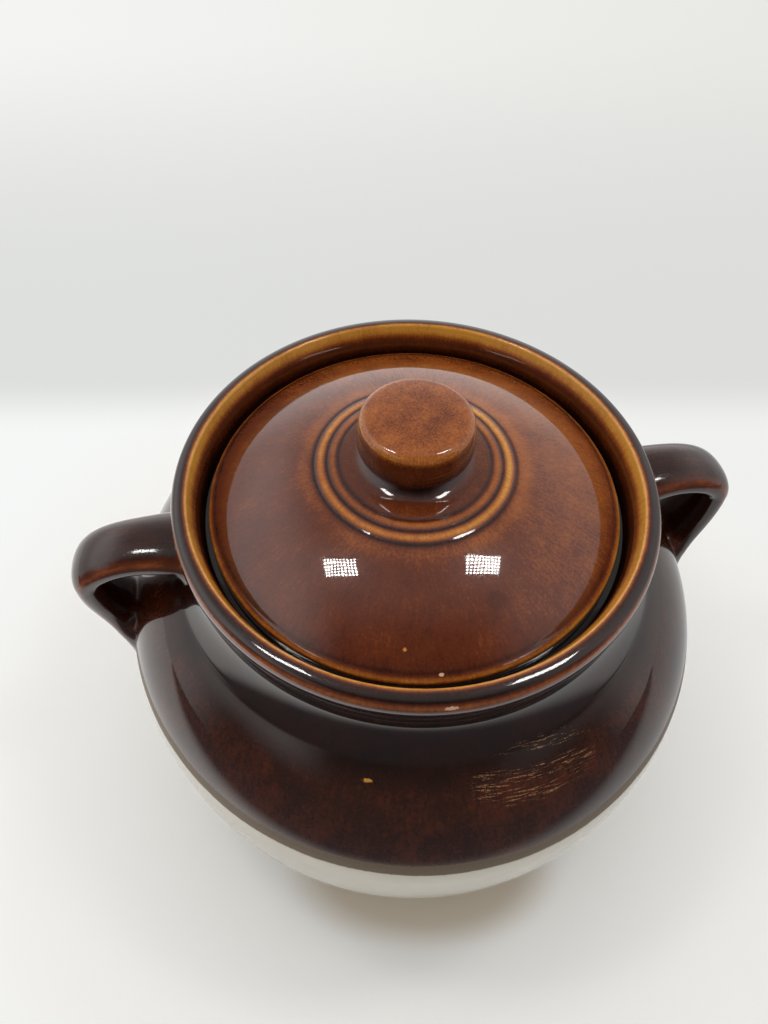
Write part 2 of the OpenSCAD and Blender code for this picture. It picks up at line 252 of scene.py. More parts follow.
def softened(points, soft, count, pull=0.002):
    """A profile with its corners rounded as glaze rounds them, at `count` points.

    The profile is sampled at even steps, and each sample is averaged with its neighbours
    under a bell of width `soft`. The points kept lie closer together where the profile
    bends: their density is 1 + pull times the curvature.
    """
    run = along(points)
    place = np.arange(0.0, run[-1], PROFILE_STEP)
    fine = np.stack([np.interp(place, run, points[:, k]) for k in (0, 1)], 1)
    reach = int(round(BELL_WIDTHS * soft / PROFILE_STEP))
    bell = np.exp(-0.5 * (np.arange(-reach, reach + 1) * PROFILE_STEP / soft) ** 2)
    bell /= bell.sum()
    head = 2 * fine[0] - fine[reach:0:-1]
    tail = 2 * fine[-1] - fine[-2:-reach - 2:-1]
    padded = np.concatenate([head, fine, tail])
    smooth = np.stack([np.convolve(padded[:, k], bell, "valid") for k in (0, 1)], 1)
    way = np.gradient(smooth, axis=0)
    heading = np.unwrap(np.arctan2(way[:, 1], way[:, 0]))
    density = 1 + pull * np.abs(np.gradient(heading)) / PROFILE_STEP
    travel = np.concatenate([[0.0], np.cumsum(density[1:])])
    kept = np.interp(np.linspace(0.0, travel[-1], count), travel, place)
    line = np.stack([np.interp(kept, place, smooth[:, k]) for k in (0, 1)], 1)
    line[[0, -1], 0] = points[[0, -1], 0]
    return line


def hump(distance, width):
    """exp(-(distance / width)^2), which is 1 at 0 and fades over the width."""
    return np.exp(-(distance / width) ** 2)


def swell(x, width):
    """(1 + cos(pi x / width)) / 2 within the width, and 0 beyond it."""
    return np.where(np.abs(x) < width, (1 + np.cos(math.pi * x / width)) / 2, 0.0)


def step_up(x, low, high):
    """0 below low, 1 above high, and 3s^2 - 2s^3 between them."""
    s = np.clip((x - low) / (high - low), 0.0, 1.0)
    return s * s * (3 - 2 * s)


def graded(x, table):
    """The value at x of a table of pairs (x, value), on straight lines between them."""
    return np.interp(x, *zip(*table))


# ---- Meshes ----

WAVE_LOBES = (2, 3, 5)
WAVE_DRIFT = 40 * MM
WAVE_FADE = 30 * MM


def piece(name, vertices, faces, marks):
    """A smooth mesh object at the origin, with one value of each mark at each vertex."""
    mesh = bpy.data.meshes.new(name)
    mesh.from_pydata(vertices.tolist(), [], faces)
    mesh.polygons.foreach_set("use_smooth", np.ones(len(mesh.polygons), bool))
    for mark, values in marks.items():
        layer = mesh.attributes.new(mark, "FLOAT", "POINT")
        layer.data.foreach_set("value", np.asarray(values, np.float32))
    mesh.update()
    made = bpy.data.objects.new(name, mesh)
    bpy.context.scene.collection.objects.link(made)
    return made


def around(sides):
    """The angles of `sides` points round a ring."""
    return np.arange(sides) * 2 * math.pi / sides


def ring_faces(rows, sides):
    """Quads between rings of `sides` vertices that follow each other."""
    row, side = np.meshgrid(np.arange(rows - 1), np.arange(sides), indexing="ij")
    near = row * sides + side
    far = row * sides + (side + 1) % sides
    return np.stack([near, far, far + sides, near + sides], -1).reshape(-1, 4)


def closed_tube(name, rings, first_pole, last_pole, marks):
    """A closed surface through rings of points, with a fan of triangles at each pole."""
    rows, sides = rings.shape[:2]
    vertices = np.concatenate([[first_pole], rings.reshape(-1, 3), [last_pole]])
    turn = np.arange(sides)
    after = (turn + 1) % sides
    last = 1 + (rows - 1) * sides
    faces = (ring_faces(rows, sides) + 1).tolist()
    faces += np.stack([np.zeros(sides, int), after + 1, turn + 1], 1).tolist()
    faces += np.stack([np.full(sides, len(vertices) - 1), turn + last, after + last], 1).tolist()
    full = {mark: np.concatenate([v[:1, 0], v.reshape(-1), v[-1:, 0]])
            for mark, v in marks.items()}
    return piece(name, vertices, faces, full)


def turned(name, profile, sides, marks, wobble=0.0):
    """The surface of revolution (r cos a, r sin a, z) of a profile (r, z) from pole to pole.

    The radius carries a thrown pot's slight wobble, a sum of a few waves round the pot
    whose phase drifts with the height. It fades out towards the axis.
    """
    angle = around(sides)
    radius, height = profile[1:-1, :1], profile[1:-1, 1:]
    drift = height / WAVE_DRIFT
    waves = sum(np.cos(k * angle + k * k + drift * (1 + 0.3 * k)) / k for k in WAVE_LOBES)
    radius = radius + wobble * waves * step_up(radius, 0.0, WAVE_FADE)
    rings = np.stack([radius * np.cos(angle), radius * np.sin(angle),
                      height + 0 * angle], -1)
    spread = {mark: np.repeat(v[1:-1, None], sides, 1) for mark, v in marks.items()}
    first_pole, last_pole = ([0.0, 0.0, profile[k, 1]] for k in (0, -1))
    return closed_tube(name, rings, first_pole, last_pole, spread)


def seat(obj, body, node, material):
    """Lets a finished piece ride on its body and stand for its solid."""
    obj.data.materials.append(material)
    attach(obj, body)
    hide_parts(node)


# ---- Shape of the pot ----

# The small bends of the profile. Pairs are steps outwards and upwards.
FOOT_BEVEL = 1.4 * MM
RIDGE_DROP, RIDGE_WIDTH, RIDGE_HEIGHT = 15.5 * MM, 1.5 * MM, 0.22 * MM
ROLL_UNDER, ROLL_PULL = 0.6 * MM, (-0.6 * MM, -0.4 * MM)
ROLL_SIDE = np.array([-0.2 * MM, 1.6 * MM])
ROLL_RISE = np.array([0.0, 0.6 * MM])
ROLL_OUTER_PULL = (0.1 * MM, -1.4 * MM)
ROLL_CORNER = np.array([-1.6 * MM, -0.42 * MM])
ROLL_TOP_PULL = (2.4 * MM, -0.02 * MM)
ROLL_TOP, ROLL_INNER_PULL = 1.3 * MM, 0.3 * MM
STEP_START = np.array([-0.7 * MM, -1.6 * MM])
STEP_PULL, STEP_END = 4 * MM, 2 * MM
LEDGE_ROUND, MOUTH_ROUND = 0.6 * MM, 0.5 * MM
LIP_START, LIP_PULL = (0.4 * MM, -1 * MM), (2.5 * MM, 3 * MM)
FLOOR_CURVE = 7 * MM
FLOOR_PULL, FLOOR_REACH = 6.3 * MM, 23.8 * MM

# How thin the glaze lies, by the depth below the rim's top in mm; inside the rim it is
# partly a painted shade of the gap round the lid. The rim's top goes by the distance
# outwards from its sharp edge, and the root by the depth below the root.
SIDE_TONE = ((1.1, 0.58), (1.5, 0.70), (2.3, 0.66), (3.1, 0.40), (4.2, 0.22), (7.4, 0.16),
             (9.0, 0.13), (12, 0.13))
ROOT_TONE = ((-5, 0.16), (0, 0.12), (5, 0.30))
TOP_TONE = ((0.0, 1.0), (0.75, 1.0), (1.6, 0.42), (2.3, 0.10), (3.9, 0.08), (4.75, 0.62))
# Inside the rim: thin amber at the sharp edge, then a painted shade that deepens down into the
# gap round the lid.
INNER_TONE_AND_SHADE = ((1.8, 1.0), (2.8, 0.94), (3.6, 0.68), (4.7, 0.52), (6.0, 0.45), (9.0, 0.40),
              (11, 0.18), (13.6, 0.08), (16, 0.28))
RIM_TOP_DEPTH, RIM_DEPTH = 1.3, 8


def belly_halves(pot):
    """Half heights of the belly's lower and upper superellipse."""
    power = pot.belly_fullness
    root = pot.height - pot.root_drop
    low = (pot.belly_level - pot.foot_band) / (
        1 - (pot.foot_radius / pot.belly_radius) ** power) ** (1 / power)
    high = (root - pot.belly_level) / (
        1 - (pot.root_radius / pot.belly_radius) ** power) ** (1 / power)
    return low, high


def belly_line(pot, steps=400):
    """The belly's outline R (1 - |h|^p)^(1/p), where h is the height over its half height."""
    power = pot.belly_fullness
    low, high = belly_halves(pot)
    share = (1 - np.cos(np.linspace(0.0, math.pi, steps))) / 2
    z = pot.foot_band + (pot.height - pot.root_drop - pot.foot_band) * share
    h = np.abs(z - pot.belly_level) / np.where(z < pot.belly_level, low, high)
    return np.stack([pot.belly_radius * (1 - h ** power) ** (1 / power), z], 1)


def neck_line(pot):
    """The hollow curve from the shoulder up to the underside of the rim."""
    root = pot.height - pot.root_drop
    waist = pot.height - pot.neck_drop
    hollow = (pot.root_radius - pot.neck_radius) / 4
    return bend([pot.root_radius, root],
                [pot.neck_radius - hollow, waist - pot.neck_drop / 5],
                [pot.neck_radius, waist + pot.neck_drop / 4])


def skin_line(pot, steps=400):
    """The outline of the belly and the neck."""
    return np.concatenate([belly_line(pot, steps), neck_line(pot)[1:]])


def skin_radius(pot, z):
    """Outer radius of the belly or the neck at the heights z."""
    line = skin_line(pot)
    return np.interp(z, line[:, 1], line[:, 0])


def pot_line(pot):
    """The pot's whole profile: underside, foot, belly, neck, rim, ledge and inside."""
    rest_out = pot.foot_radius - FOOT_BEVEL
    rest_in = rest_out - pot.foot_ring
    rim_low = pot.height - pot.rim_depth
    side = np.array([pot.rim_radius, rim_low]) + ROLL_SIDE
    corner = np.array([pot.rim_radius, pot.height]) + ROLL_CORNER
    edge = np.array([pot.rim_edge_radius, pot.height - pot.rim_edge_drop])
    top = [edge[0] + ROLL_TOP, pot.height]
    ledge = pot.height - pot.ledge_drop
    mouth = pot.mouth_radius
    lip = ledge - pot.mouth_lip
    belly = belly_line(pot)
    inside = belly - pot.wall * outward(belly)
    inside = inside[inside[:, 1] > pot.floor + FLOOR_CURVE][::-1]
    low = inside[-1]
    neck = neck_line(pot)[1:]
    neck[:, 0] += RIDGE_HEIGHT * swell(pot.height - neck[:, 1] - RIDGE_DROP, RIDGE_WIDTH)
    return np.concatenate([
        [[0.0, pot.foot_recess], [rest_in - pot.foot_recess, pot.foot_recess]],
        [[rest_in, 0.0], [rest_out, 0.0], [pot.foot_radius, FOOT_BEVEL]],
        belly,
        neck,
        bend([pot.neck_radius, rim_low - ROLL_UNDER],
             [pot.rim_radius + ROLL_PULL[0], rim_low + ROLL_PULL[1]], side),
        bend(side + ROLL_RISE,
             [pot.rim_radius + ROLL_OUTER_PULL[0], pot.height + ROLL_OUTER_PULL[1]], corner),
        bend(corner, [edge[0] + ROLL_TOP_PULL[0], pot.height + ROLL_TOP_PULL[1]], top)[1:],
        bend(top, [edge[0] + ROLL_INNER_PULL, pot.height], edge)[1:],
        bend(edge + STEP_START, [pot.ledge_radius, edge[1] - STEP_PULL],
             [pot.ledge_radius, ledge + STEP_END]),
        [[pot.ledge_radius - LEDGE_ROUND, ledge], [mouth + MOUTH_ROUND, ledge]],
        [[mouth, ledge - MOUTH_ROUND], [mouth, lip]],
        bend([mouth + LIP_START[0], lip + LIP_START[1]],
             [mouth + LIP_PULL[0], inside[0, 1] + LIP_PULL[1]], inside[0]),
        inside[1:],
        bend(low, [low[0] - FLOOR_PULL, pot.floor], [low[0] - FLOOR_REACH, pot.floor])[1:],
        [[0.0, pot.floor]],
    ])


def pot_tone(pot, line):
    """How thin the glaze lies along the profile, and which of its points lie outside.

    A tone of 0 is pooled and 1 is bare amber. Amber shows at the sharp inner edge and on
    the rim's outer shoulder. The glaze is thick on the roll's top, in the hollow of the
    neck and where neck and shoulder meet. Inside the rim the tone falls towards the ledge
    as a painted shade of the gap round the lid.
    """
    r, depth = line[:, 0] / MM, (pot.height - line[:, 1]) / MM
    edge_r = pot.rim_edge_radius / MM
    away = np.hypot(r - edge_r, depth - pot.rim_edge_drop / MM)
    edge = np.argmin(np.where(depth < RIM_DEPTH, away, np.inf))
    order = np.arange(len(line))
    root = pot.root_drop / MM
    tone = graded(depth, (*SIDE_TONE, *((root + far, value) for far, value in ROOT_TONE)))
    tone = np.where((depth < RIM_TOP_DEPTH) & (order < edge), graded(r - edge_r, TOP_TONE), tone)
    tone = np.where(order >= edge, graded(depth, INNER_TONE_AND_SHADE), tone)
    return tone, (order <= np.argmin(depth)).astype(float)


# ---- Shape of the lid and the knob ----

FLANGE_DROP = 5 * MM
FLANGE_BEVEL = 1 * MM
BROW_STEP, BROW_PULL = 0.4 * MM, 0.6 * MM
COVE_SHARE = 0.70

LID_TONE = 0.52
# Painted shade towards the centre and round the knob's foot: where each is full, where
# it begins and its strength.
CENTRE_PAINTED_SHADES = ((12 * MM, 20 * MM, 0.07), (14 * MM, 18 * MM, 0.16))
# Rings of the lid's glaze: radius or distance outwards, width and how much thinner it is.
EDGE_SHADE = (58.5 * MM, 1.6 * MM, -0.04)
BEAD_GLOW = ((1.25 * MM, 0.34), (0.95 * MM, 0.18))
GROOVE_SHADE = ((0.75 * MM, -0.34), (0.55 * MM, -0.36), (0.70 * MM, -0.24))
GROOVE_GLOW = (2.9 * MM, 2.2 * MM, 0.09)
# Rings round a line that runs just inside and below the edge's upper corner.
BROW_IN, BROW_DOWN = 0.4 * MM, 0.9 * MM
BROW_RINGS = ((0.0, 0.85 * MM, 0.34), (2.0 * MM, 0.7 * MM, -0.14))
UNDER_TONE, SEAT_WIDTH, SEAT_SHADE = 0.30, 1.5 * MM, 0.2
WRAP_WIDTH, WRAP_TONE = 1.0 * MM, 0.8


def lid_brow(lid):
    """Height of the top of the lid's edge, where the dome begins."""
    return lid.rest + lid.edge


def dome_height(lid, r):
    """Height of the plain dome, which falls with (r / R)^p."""
    radius = lid.radius - lid.edge_round
    return lid_brow(lid) + lid.rise * (1 - (r / radius) ** lid.power)


def lid_grooves(lid):
    """Radii of the three grooves and of the two beads between them, from the outermost."""
    grooves = (lid.groove_outer, lid.groove_middle, lid.groove_inner)
    return grooves, [(a + b) / 2 for a, b in zip(grooves, grooves[1:])]


def ring_relief(lid, r):
    """Three turned grooves, two beads between them, and a cove that rises to the knob."""
    grooves, beads = lid_grooves(lid)
    relief = -lid.groove_depth * sum(swell(r - g, lid.groove_width / 2) for g in grooves)
    for bead, outer in zip(beads, grooves):
        relief = relief + lid.bead * swell(r - bead, outer - bead)
    into = np.clip(lid.cove_reach - r, 0.0, COVE_SHARE * lid.cove)
    return relief + lid.cove - np.sqrt(lid.cove ** 2 - into ** 2)


def lid_line(lid):
    """The lid's profile: hollow underside, flange, rounded edge and dome."""
    radius = lid.radius
    brow = lid_brow(lid)
    start = radius - lid.edge_round
    flange_in = lid.flange_radius - lid.flange_width
    low = lid.rest - FLANGE_DROP
    hollow = np.linspace(0.0, flange_in - FLANGE_BEVEL, 200)
    dome = np.linspace(start, 0.0, 1600)
    return np.concatenate([
        np.stack([hollow, dome_height(lid, hollow) - lid.thickness], 1),
        [[flange_in, low + FLANGE_BEVEL], [flange_in + FLANGE_BEVEL, low]],
        [[lid.flange_radius - FLANGE_BEVEL, low], [lid.flange_radius, low + FLANGE_BEVEL]],
        [[lid.flange_radius, lid.rest]],
        bend([radius - lid.foot_round, lid.rest], [radius, lid.rest],
             [radius, lid.rest + lid.foot_round]),
        bend([radius, brow - lid.edge_round - BROW_STEP], [radius, brow - BROW_PULL],
             [start, brow]),
        np.stack([dome, dome_height(lid, dome) + ring_relief(lid, dome)], 1)[1:],
    ])


def lid_tone(lid, line):
    """How thin the glaze lies: dark grooves, amber beads, amber edge; painted shade by the knob.
    """
    r, z = line[:, 0], line[:, 1]
    above = np.arange(len(line)) > np.argmax(r)
    grooves, beads = lid_grooves(lid)
    rings = [EDGE_SHADE, (lid.groove_outer + GROOVE_GLOW[0], *GROOVE_GLOW[1:])]
    rings += [(radius, *ring) for radius, ring in zip(beads, BEAD_GLOW)]
    rings += [(radius, *ring) for radius, ring in zip(grooves, GROOVE_SHADE)]
    brow = np.hypot(r - lid.radius + BROW_IN, z - lid_brow(lid) + BROW_DOWN)
    tone = LID_TONE - sum(change * step_up(-r, -begin, -full)
                          for full, begin, change in CENTRE_PAINTED_SHADES)
    tone = tone + sum(change * hump(r - radius, width) for radius, width, change in rings)
    tone = tone + sum(change * hump(brow - far, width) for far, width, change in BROW_RINGS)
    under = UNDER_TONE - SEAT_SHADE * hump(z - lid.rest, SEAT_WIDTH)
    return np.where(above, tone, np.maximum(under, WRAP_TONE * hump(brow, WRAP_WIDTH)))


KNOB_TAPER = 0.65 * MM
KNOB_FLARE = (1.2 * MM, 2.6 * MM)
KNOB_THROAT, KNOB_SIDE = 1.0 * MM, 0.2 * MM
KNOB_BULGE = (0.15 * MM, 3.4 * MM)
KNOB_FLARE_TOP = 0.72
KNOB_EDGE = (10, 84)
KNOB_TOP_DEPTH, KNOB_TOP_TONE = 1.2, 0.62
KNOB_RING, KNOB_RING_TONE = (8 * MM, 12 * MM), 0.05
# The tone of the knob's side by the depth below its top in mm. Towards the foot it
# falls as a painted shade where the knob meets the lid.
KNOB_TONE_AND_SHADE = ((0.8, 0.66), (1.6, 0.76), (2.7, 0.77), (3.6, 0.60), (4.6, 0.45), (6.5, 0.49),
             (10, 0.40), (13, 0.26), (16, 0.14), (18, 0.06))


def knob_line(knob, low, high):
    """The knob's profile: a foot that flares to an upright side, a rounded edge, a crown."""
    side_z = high - knob.crown - knob.edge_round
    side = knob.radius - KNOB_TAPER
    face = side - knob.edge_round
    foot = knob.foot_radius
    waist = low + knob.waist
    return np.concatenate([
        [[0.0, low]],
        bend([foot, low], [foot + KNOB_FLARE[0], low + KNOB_FLARE[1]],
             [knob.radius - KNOB_THROAT, low + knob.waist * KNOB_FLARE_TOP]),
        bend([knob.radius - KNOB_SIDE, waist],
             [knob.radius + KNOB_BULGE[0], waist + KNOB_BULGE[1]], [side, side_z]),
        arc([face, side_z], knob.edge_round, *KNOB_EDGE),
        bend([face, side_z + knob.edge_round], [knob.radius / 2, high], [0.0, high]),
    ])


def knob_tone(knob, line, high):
    """Orange on top, amber below the edge, and a painted shade towards the foot."""
    r = line[:, 0]
    drop = (high - line[:, 1]) / MM
    top = KNOB_TOP_TONE + KNOB_RING_TONE * step_up(r, *KNOB_RING)
    on_top = (drop < KNOB_TOP_DEPTH) & (r < knob.radius - 0.6 * knob.edge_round)
    return np.where(on_top, top, graded(drop, KNOB_TONE_AND_SHADE))


# ---- Shape of the handles ----

STRAP_SQUARE = 2.25
STRAP_FULL = 1.03
STRAP_STEPS = 110
STRAP_SIDES = 96
FLARE_REACH = 0.22
# By side: how far in the arch begins to turn down, its rise, the root's drop and how
# much the leg narrows half way down.
PULL_OVER = {1: 0.0155, -1: 0.0128}
RISE_MORE = {1: 0.0008, -1: 0.0012}
ROOT_LOWER = {1: 0.0016, -1: 0.0}
LEG_WAIST = {1: 0.04, -1: 0.13}
PULL_DOWN = 0.0114
PULL_HOME = np.array([0.0069, 0.0104])
TAIL_DROP, TAIL_DEPTH = 12 * MM, 5.2 * MM
TAIL_PULL, TAIL_RISE = 0.32, np.array([0.0, 4 * MM])
TAIL_POINT, TAIL_SHRINK, TAIL_SPREAD = 0.36, 0.50, 0.15
FILLET_SINK, FILLET_FADE = 0.5 * MM, 3 * MM
DEEPEST = 5.6 * MM
# The strap's glaze: thin along both edges, whose lean is in degrees above the section's
# middle, thicker underneath and in the fillets, thin again low down on the inner side.
STRAP_TONE = 0.25
EDGE_LEAN, EDGE_WIDTH, EDGE_TONE = 24, 17, 0.33
UNDER_LEAN, UNDER_EDGE, UNDER_SHADE = (5, 40), 0.4, 0.07
POOLED_SHADE = 0.12
LOW_RUN, LOW_WIDTH, LOW_TONE = 0.80, 0.09, 0.26


def wall_gap(pot, x, y, z):
    """How far points lie outside the pot's wall, and the wall's normal (r, z) there.

    The wall is the outline of the belly and the neck. From its nearest point each step is
    measured along the outline's normal.
    """
    line = skin_line(pot, 160)
    place = np.stack([np.hypot(x, y), z], -1)
    nearest = np.argmin(((place[..., None, :] - line) ** 2).sum(-1), axis=-1)
    normal = outward(line)[nearest]
    return ((place - line[nearest]) * normal).sum(-1), normal


def strap_course(pot, handles, sag, side):
    """The strap's middle line (x, z), its direction, width and thickness, and the 2 / p.

    The line is three cubic curves in the plane of the handle: out from the neck over a
    low arch, down and back to the belly, and a short tail that runs out in the wall. The
    strap swells towards both joints by a bell exp(-(t / reach)^2).
    """
    root = pot.height - handles.drop - sag
    out = handles.reach - handles.thickness / 2 * STRAP_FULL
    end_z = pot.height - handles.end_drop
    end = np.array([skin_radius(pot, end_z) - handles.luting, end_z])
    bow = root - handles.turn
    high = root + RISE_MORE[side]
    tail_z = end_z - TAIL_DROP
    tail_end = np.array([skin_radius(pot, tail_z) - TAIL_DEPTH, tail_z])
    upper = [[pot.neck_radius - handles.luting, root - ROOT_LOWER[side]],
             [out - PULL_OVER[side], root + handles.arch + RISE_MORE[side]],
             [out, high], [out, bow]]
    lower = [[out, bow], [out, bow - PULL_DOWN], end + PULL_HOME, end]
    tail = [end, end - TAIL_PULL * PULL_HOME, tail_end + TAIL_RISE, tail_end]
    t = np.linspace(0.0, 1.0, STRAP_STEPS)
    down = t[1:]
    short = np.linspace(0.0, 1.0, STRAP_STEPS // 3)[1:]
    parts = (cubic(upper, t), cubic(lower, down), cubic(tail, short))
    middle, way = (np.concatenate(found) for found in zip(*parts))
    flare = np.concatenate([
        1 + handles.flare * hump(t, FLARE_REACH),
        1 + handles.flare * hump(1 - down, FLARE_REACH),
        (1 + handles.flare) * (1 - TAIL_SHRINK * short ** 1.5)])
    width = np.concatenate([
        np.full(len(t), handles.width),
        (handles.width + (handles.end_width - handles.width) * down)
        * (1 - LEG_WAIST[side] * np.sin(math.pi * down) ** 2),
        handles.end_width * (1 + TAIL_SPREAD * short)])
    power = 2 / STRAP_SQUARE + TAIL_POINT / 2 * np.concatenate([
        0 * t, step_up(down, 0.75, 1.0), 1 + short])
    return middle, way, width * flare, handles.thickness * flare, power


def strap(name, pot, handles, sag, side):
    """A strap handle on the side +1 or -1 of the pot, with the tone of its glaze.

    Each section is a superellipse |x|^p + |y|^p = 1 across the middle line, whose p falls
    along the tail, so that it leaves the surface as a round tongue. Close to the pot a
    section swells along the wall by R - sqrt(R^2 - (R - d)^2), where d is the distance to
    the wall, which leaves a fillet of radius R that runs out under the skin.
    """
    middle, way, width, thickness, power = strap_course(pot, handles, sag, side)
    lift = np.stack([-way[:, 1], way[:, 0]], 1)[:, None]
    angle = around(STRAP_SIDES)
    across, rise = (np.sign(wave) * np.abs(wave) ** power[:, None]
                    for wave in (np.cos(angle), np.sin(angle)))
    half_width, half_thick = (full[:, None] / 2 * STRAP_FULL for full in (width, thickness))

    def sections(grow):
        """The sections, each grown by `grow` along the pot's wall."""
        y = across * (half_width + grow)
        upright = np.abs(lift[..., 1])
        flat = middle[:, None] + (rise * (half_thick + grow * upright))[..., None] * lift
        return flat[..., 0], y, flat[..., 1]

    gap, _ = wall_gap(pot, *sections(0.0))
    radius = handles.fillet
    near = radius - np.sqrt(radius ** 2 - (radius - np.clip(gap, 0.0, radius)) ** 2)
    x, y, z = sections(near * step_up(gap, -FILLET_FADE, 0.0))
    now, normal = wall_gap(pot, x, y, z)
    sink = gap - FILLET_SINK * near / radius - now
    reach = np.hypot(x, y)
    x, y, z = (x + sink * normal[..., 0] * x / reach, y + sink * normal[..., 0] * y / reach,
               z + sink * normal[..., 1])
    x = np.maximum(x, skin_radius(pot, z) - DEEPEST)
    rings = np.stack([side * x, side * y, z], -1)[:, ::-1]
    pooled = (near / radius)[:, ::-1]
    lean = np.degrees(np.arctan2(np.sin(angle), np.abs(np.cos(angle))))[::-1]
    under = step_up(-lean, *UNDER_LEAN)
    run = np.linspace(0.0, 1.0, len(rings))[:, None]
    edge = EDGE_TONE * hump(lean - EDGE_LEAN, EDGE_WIDTH) * (1 - UNDER_EDGE * under)
    tone = STRAP_TONE + edge - UNDER_SHADE * under - POOLED_SHADE * pooled
    tone = tone + LOW_TONE * hump(run - LOW_RUN, LOW_WIDTH) * under
    first_pole, last_pole = ([side * middle[k, 0], 0.0, middle[k, 1]] for k in (0, -1))
    return closed_tube(name, rings, first_pole, last_pole, {"tone": tone})


# ---- Shader nodes ----


class Tree:
    """Adds nodes to a node tree. An input that is a socket is linked, any other is set."""

    def __init__(self, tree):
        self.tree = tree

    def add(self, kind, inputs=None, **settings):
        """One node with its settings and inputs."""
        node = self.tree.nodes.new(kind)
        for key, value in settings.items():
            setattr(node, key, value)
        for key, value in (inputs or {}).items():
            if isinstance(value, bpy.types.NodeSocket):
                self.tree.links.new(value, node.inputs[key])
            else:
                node.inputs[key].default_value = value
        return node

    def maths(self, operation, *values):
        """The result of a Math node."""
        return self.add("ShaderNodeMath", dict(enumerate(values)), operation=operation).outputs[0]

    def plus(self, a, b):
        """a + b."""
        return self.maths("ADD", a, b)

    def minus(self, a, b):
        """a - b."""
        return self.maths("SUBTRACT", a, b)

    def times(self, a, b):
        """a b."""
        return self.maths("MULTIPLY", a, b)

    def over(self, a, b):
        """a / b."""
        return self.maths("DIVIDE", a, b)

    def far(self, x, y):
        """SQRT(x^2 + y^2)."""
        return self.maths("SQRT", self.plus(self.times(x, x), self.times(y, y)))

    def ramp(self, value, low, high, start=0.0, end=1.0):
        """Runs smoothly from start to end while the value goes from low to high."""
        node = self.add("ShaderNodeMapRange", {0: value, 1: low, 2: high, 3: start, 4: end},
                        interpolation_type="SMOOTHSTEP")
        return node.outputs[0]

    def blend(self, share, first, second):
        """The first colour, or the second where the share is 1."""
        node = self.add("ShaderNodeMix", {0: share, 6: first, 7: second}, data_type="RGBA")
        return node.outputs[2]

    def mix(self, share, first, second):
        """The first number, or the second where the share is 1."""
        return self.add("ShaderNodeMix", {0: share, 2: first, 3: second}).outputs[0]

    def lay(self, under, mask, share, colour):
        """A colour laid over another where the mask is 1, as thick as the share."""
        return self.blend(self.times(mask, share), under, colour)

    def noise(self, vector, size, detail=2.0, rough=0.5):
        """Noise from 0 to 1 with features about `size` across."""
        return self.add("ShaderNodeTexNoise", {
            "Vector": vector, "Scale": self.over(1.0, size), "Detail": detail,
            "Roughness": rough}).outputs[0]

    def drift(self, vector, size, detail=2.0, rough=0.5):
        """The same noise, centred on 0."""
        return self.minus(self.noise(vector, size, detail, rough), 0.5)

    def place(self):
        """Object coordinates."""
        return self.add("ShaderNodeTexCoord").outputs["Object"]

    def mark(self, name):
        """A value stored at the mesh's vertices."""
        return self.add("ShaderNodeAttribute", attribute_name=name).outputs["Fac"]

    def parts(self, vector):
        """The three numbers of a vector."""
        return self.add("ShaderNodeSeparateXYZ", {0: vector}).outputs

    def vector(self, *numbers):
        """The vector of up to three numbers."""
        return self.add("ShaderNodeCombineXYZ", dict(enumerate(numbers))).outputs[0]


NUMBER, COLOUR, VECTOR = "NodeSocketFloat", "NodeSocketColor", "NodeSocketVector"
RUN_DRUM = 0.06


def shared(name, output, kind, **inputs):
    """Makes a function into a node group with named sockets, built at its first use."""
    sockets = {socket.replace("_", " "): each for socket, each in inputs.items()}

    def wrap(work):
        """The function that places the group in a tree and gives its output."""
        def use(tree, *values):
            """Links or sets the group's inputs in their order."""
            group = bpy.data.node_groups.get(name)
            if group is None:
                group = bpy.data.node_groups.new(name, "ShaderNodeTree")
                for socket, each in sockets.items():
                    group.interface.new_socket(name=socket, in_out="INPUT", socket_type=each)
                group.interface.new_socket(name=output, in_out="OUTPUT", socket_type=kind)
                into = group.nodes.new("NodeGroupInput").outputs
                out = group.nodes.new("NodeGroupOutput")
                result = work(Tree(group), *[into[socket] for socket in sockets])
                group.links.new(result, out.inputs[output])
            node = tree.add("ShaderNodeGroup", dict(zip(sockets, values)), node_tree=group)
            return node.outputs[0]
        return use
    return wrap


TONE_STEPS = ("Pooled", "Deep", "Red", "Orange", "Amber")


@shared("glaze_tone", "Color", COLOUR, Tone=NUMBER, **{step: COLOUR for step in TONE_STEPS})
def glaze_tone(tree, tone, pooled, *thinner):
    """Colour of the brown glaze by its tone, from pooled over red to thin amber."""
    result = pooled
    for k, colour_here in enumerate(thinner):
        share = tree.add("ShaderNodeMapRange", {
            0: tone, 1: k / 4 + 0.02, 2: (k + 1) / 4}, clamp=True).outputs[0]
        result = tree.blend(share, result, colour_here)
    return result


@shared("mottle", "Value", NUMBER, Vector=VECTOR, Patch_Size=NUMBER, Patch=NUMBER,
        Grain_Size=NUMBER, Grain=NUMBER)
def mottle(tree, place, patch_size, patch, grain_size, grain):
    """Cloudy patches and fine grain, centred on 0."""
    patches = tree.times(tree.drift(place, patch_size, 3.0, 0.6), patch)
    grains = tree.times(tree.drift(place, grain_size, 2.0, 0.7), grain)
    return tree.times(tree.plus(patches, grains), 2.0)


@shared("runs", "Value", NUMBER, Vector=VECTOR, Size=NUMBER, Stretch=NUMBER)
def runs(tree, place, size, stretch):
    """Streaks that the melting glaze leaves as it runs down, centred on 0.

    The noise is read on a drum of RUN_DRUM radius, at the same angle as the place, and at
    a height of (z - r) / stretch, so that it runs down the wall and out over the lid.
    """
    x, y, z = tree.parts(place)
    across = tree.far(x, y)
    safe = tree.maths("MAXIMUM", across, 0.001)
    squeezed = tree.vector(tree.times(tree.over(x, safe), RUN_DRUM),
                           tree.times(tree.over(y, safe), RUN_DRUM),
                           tree.over(tree.minus(z, across), stretch))
    return tree.times(tree.drift(squeezed, size, 2.0, 0.6), 2.0)


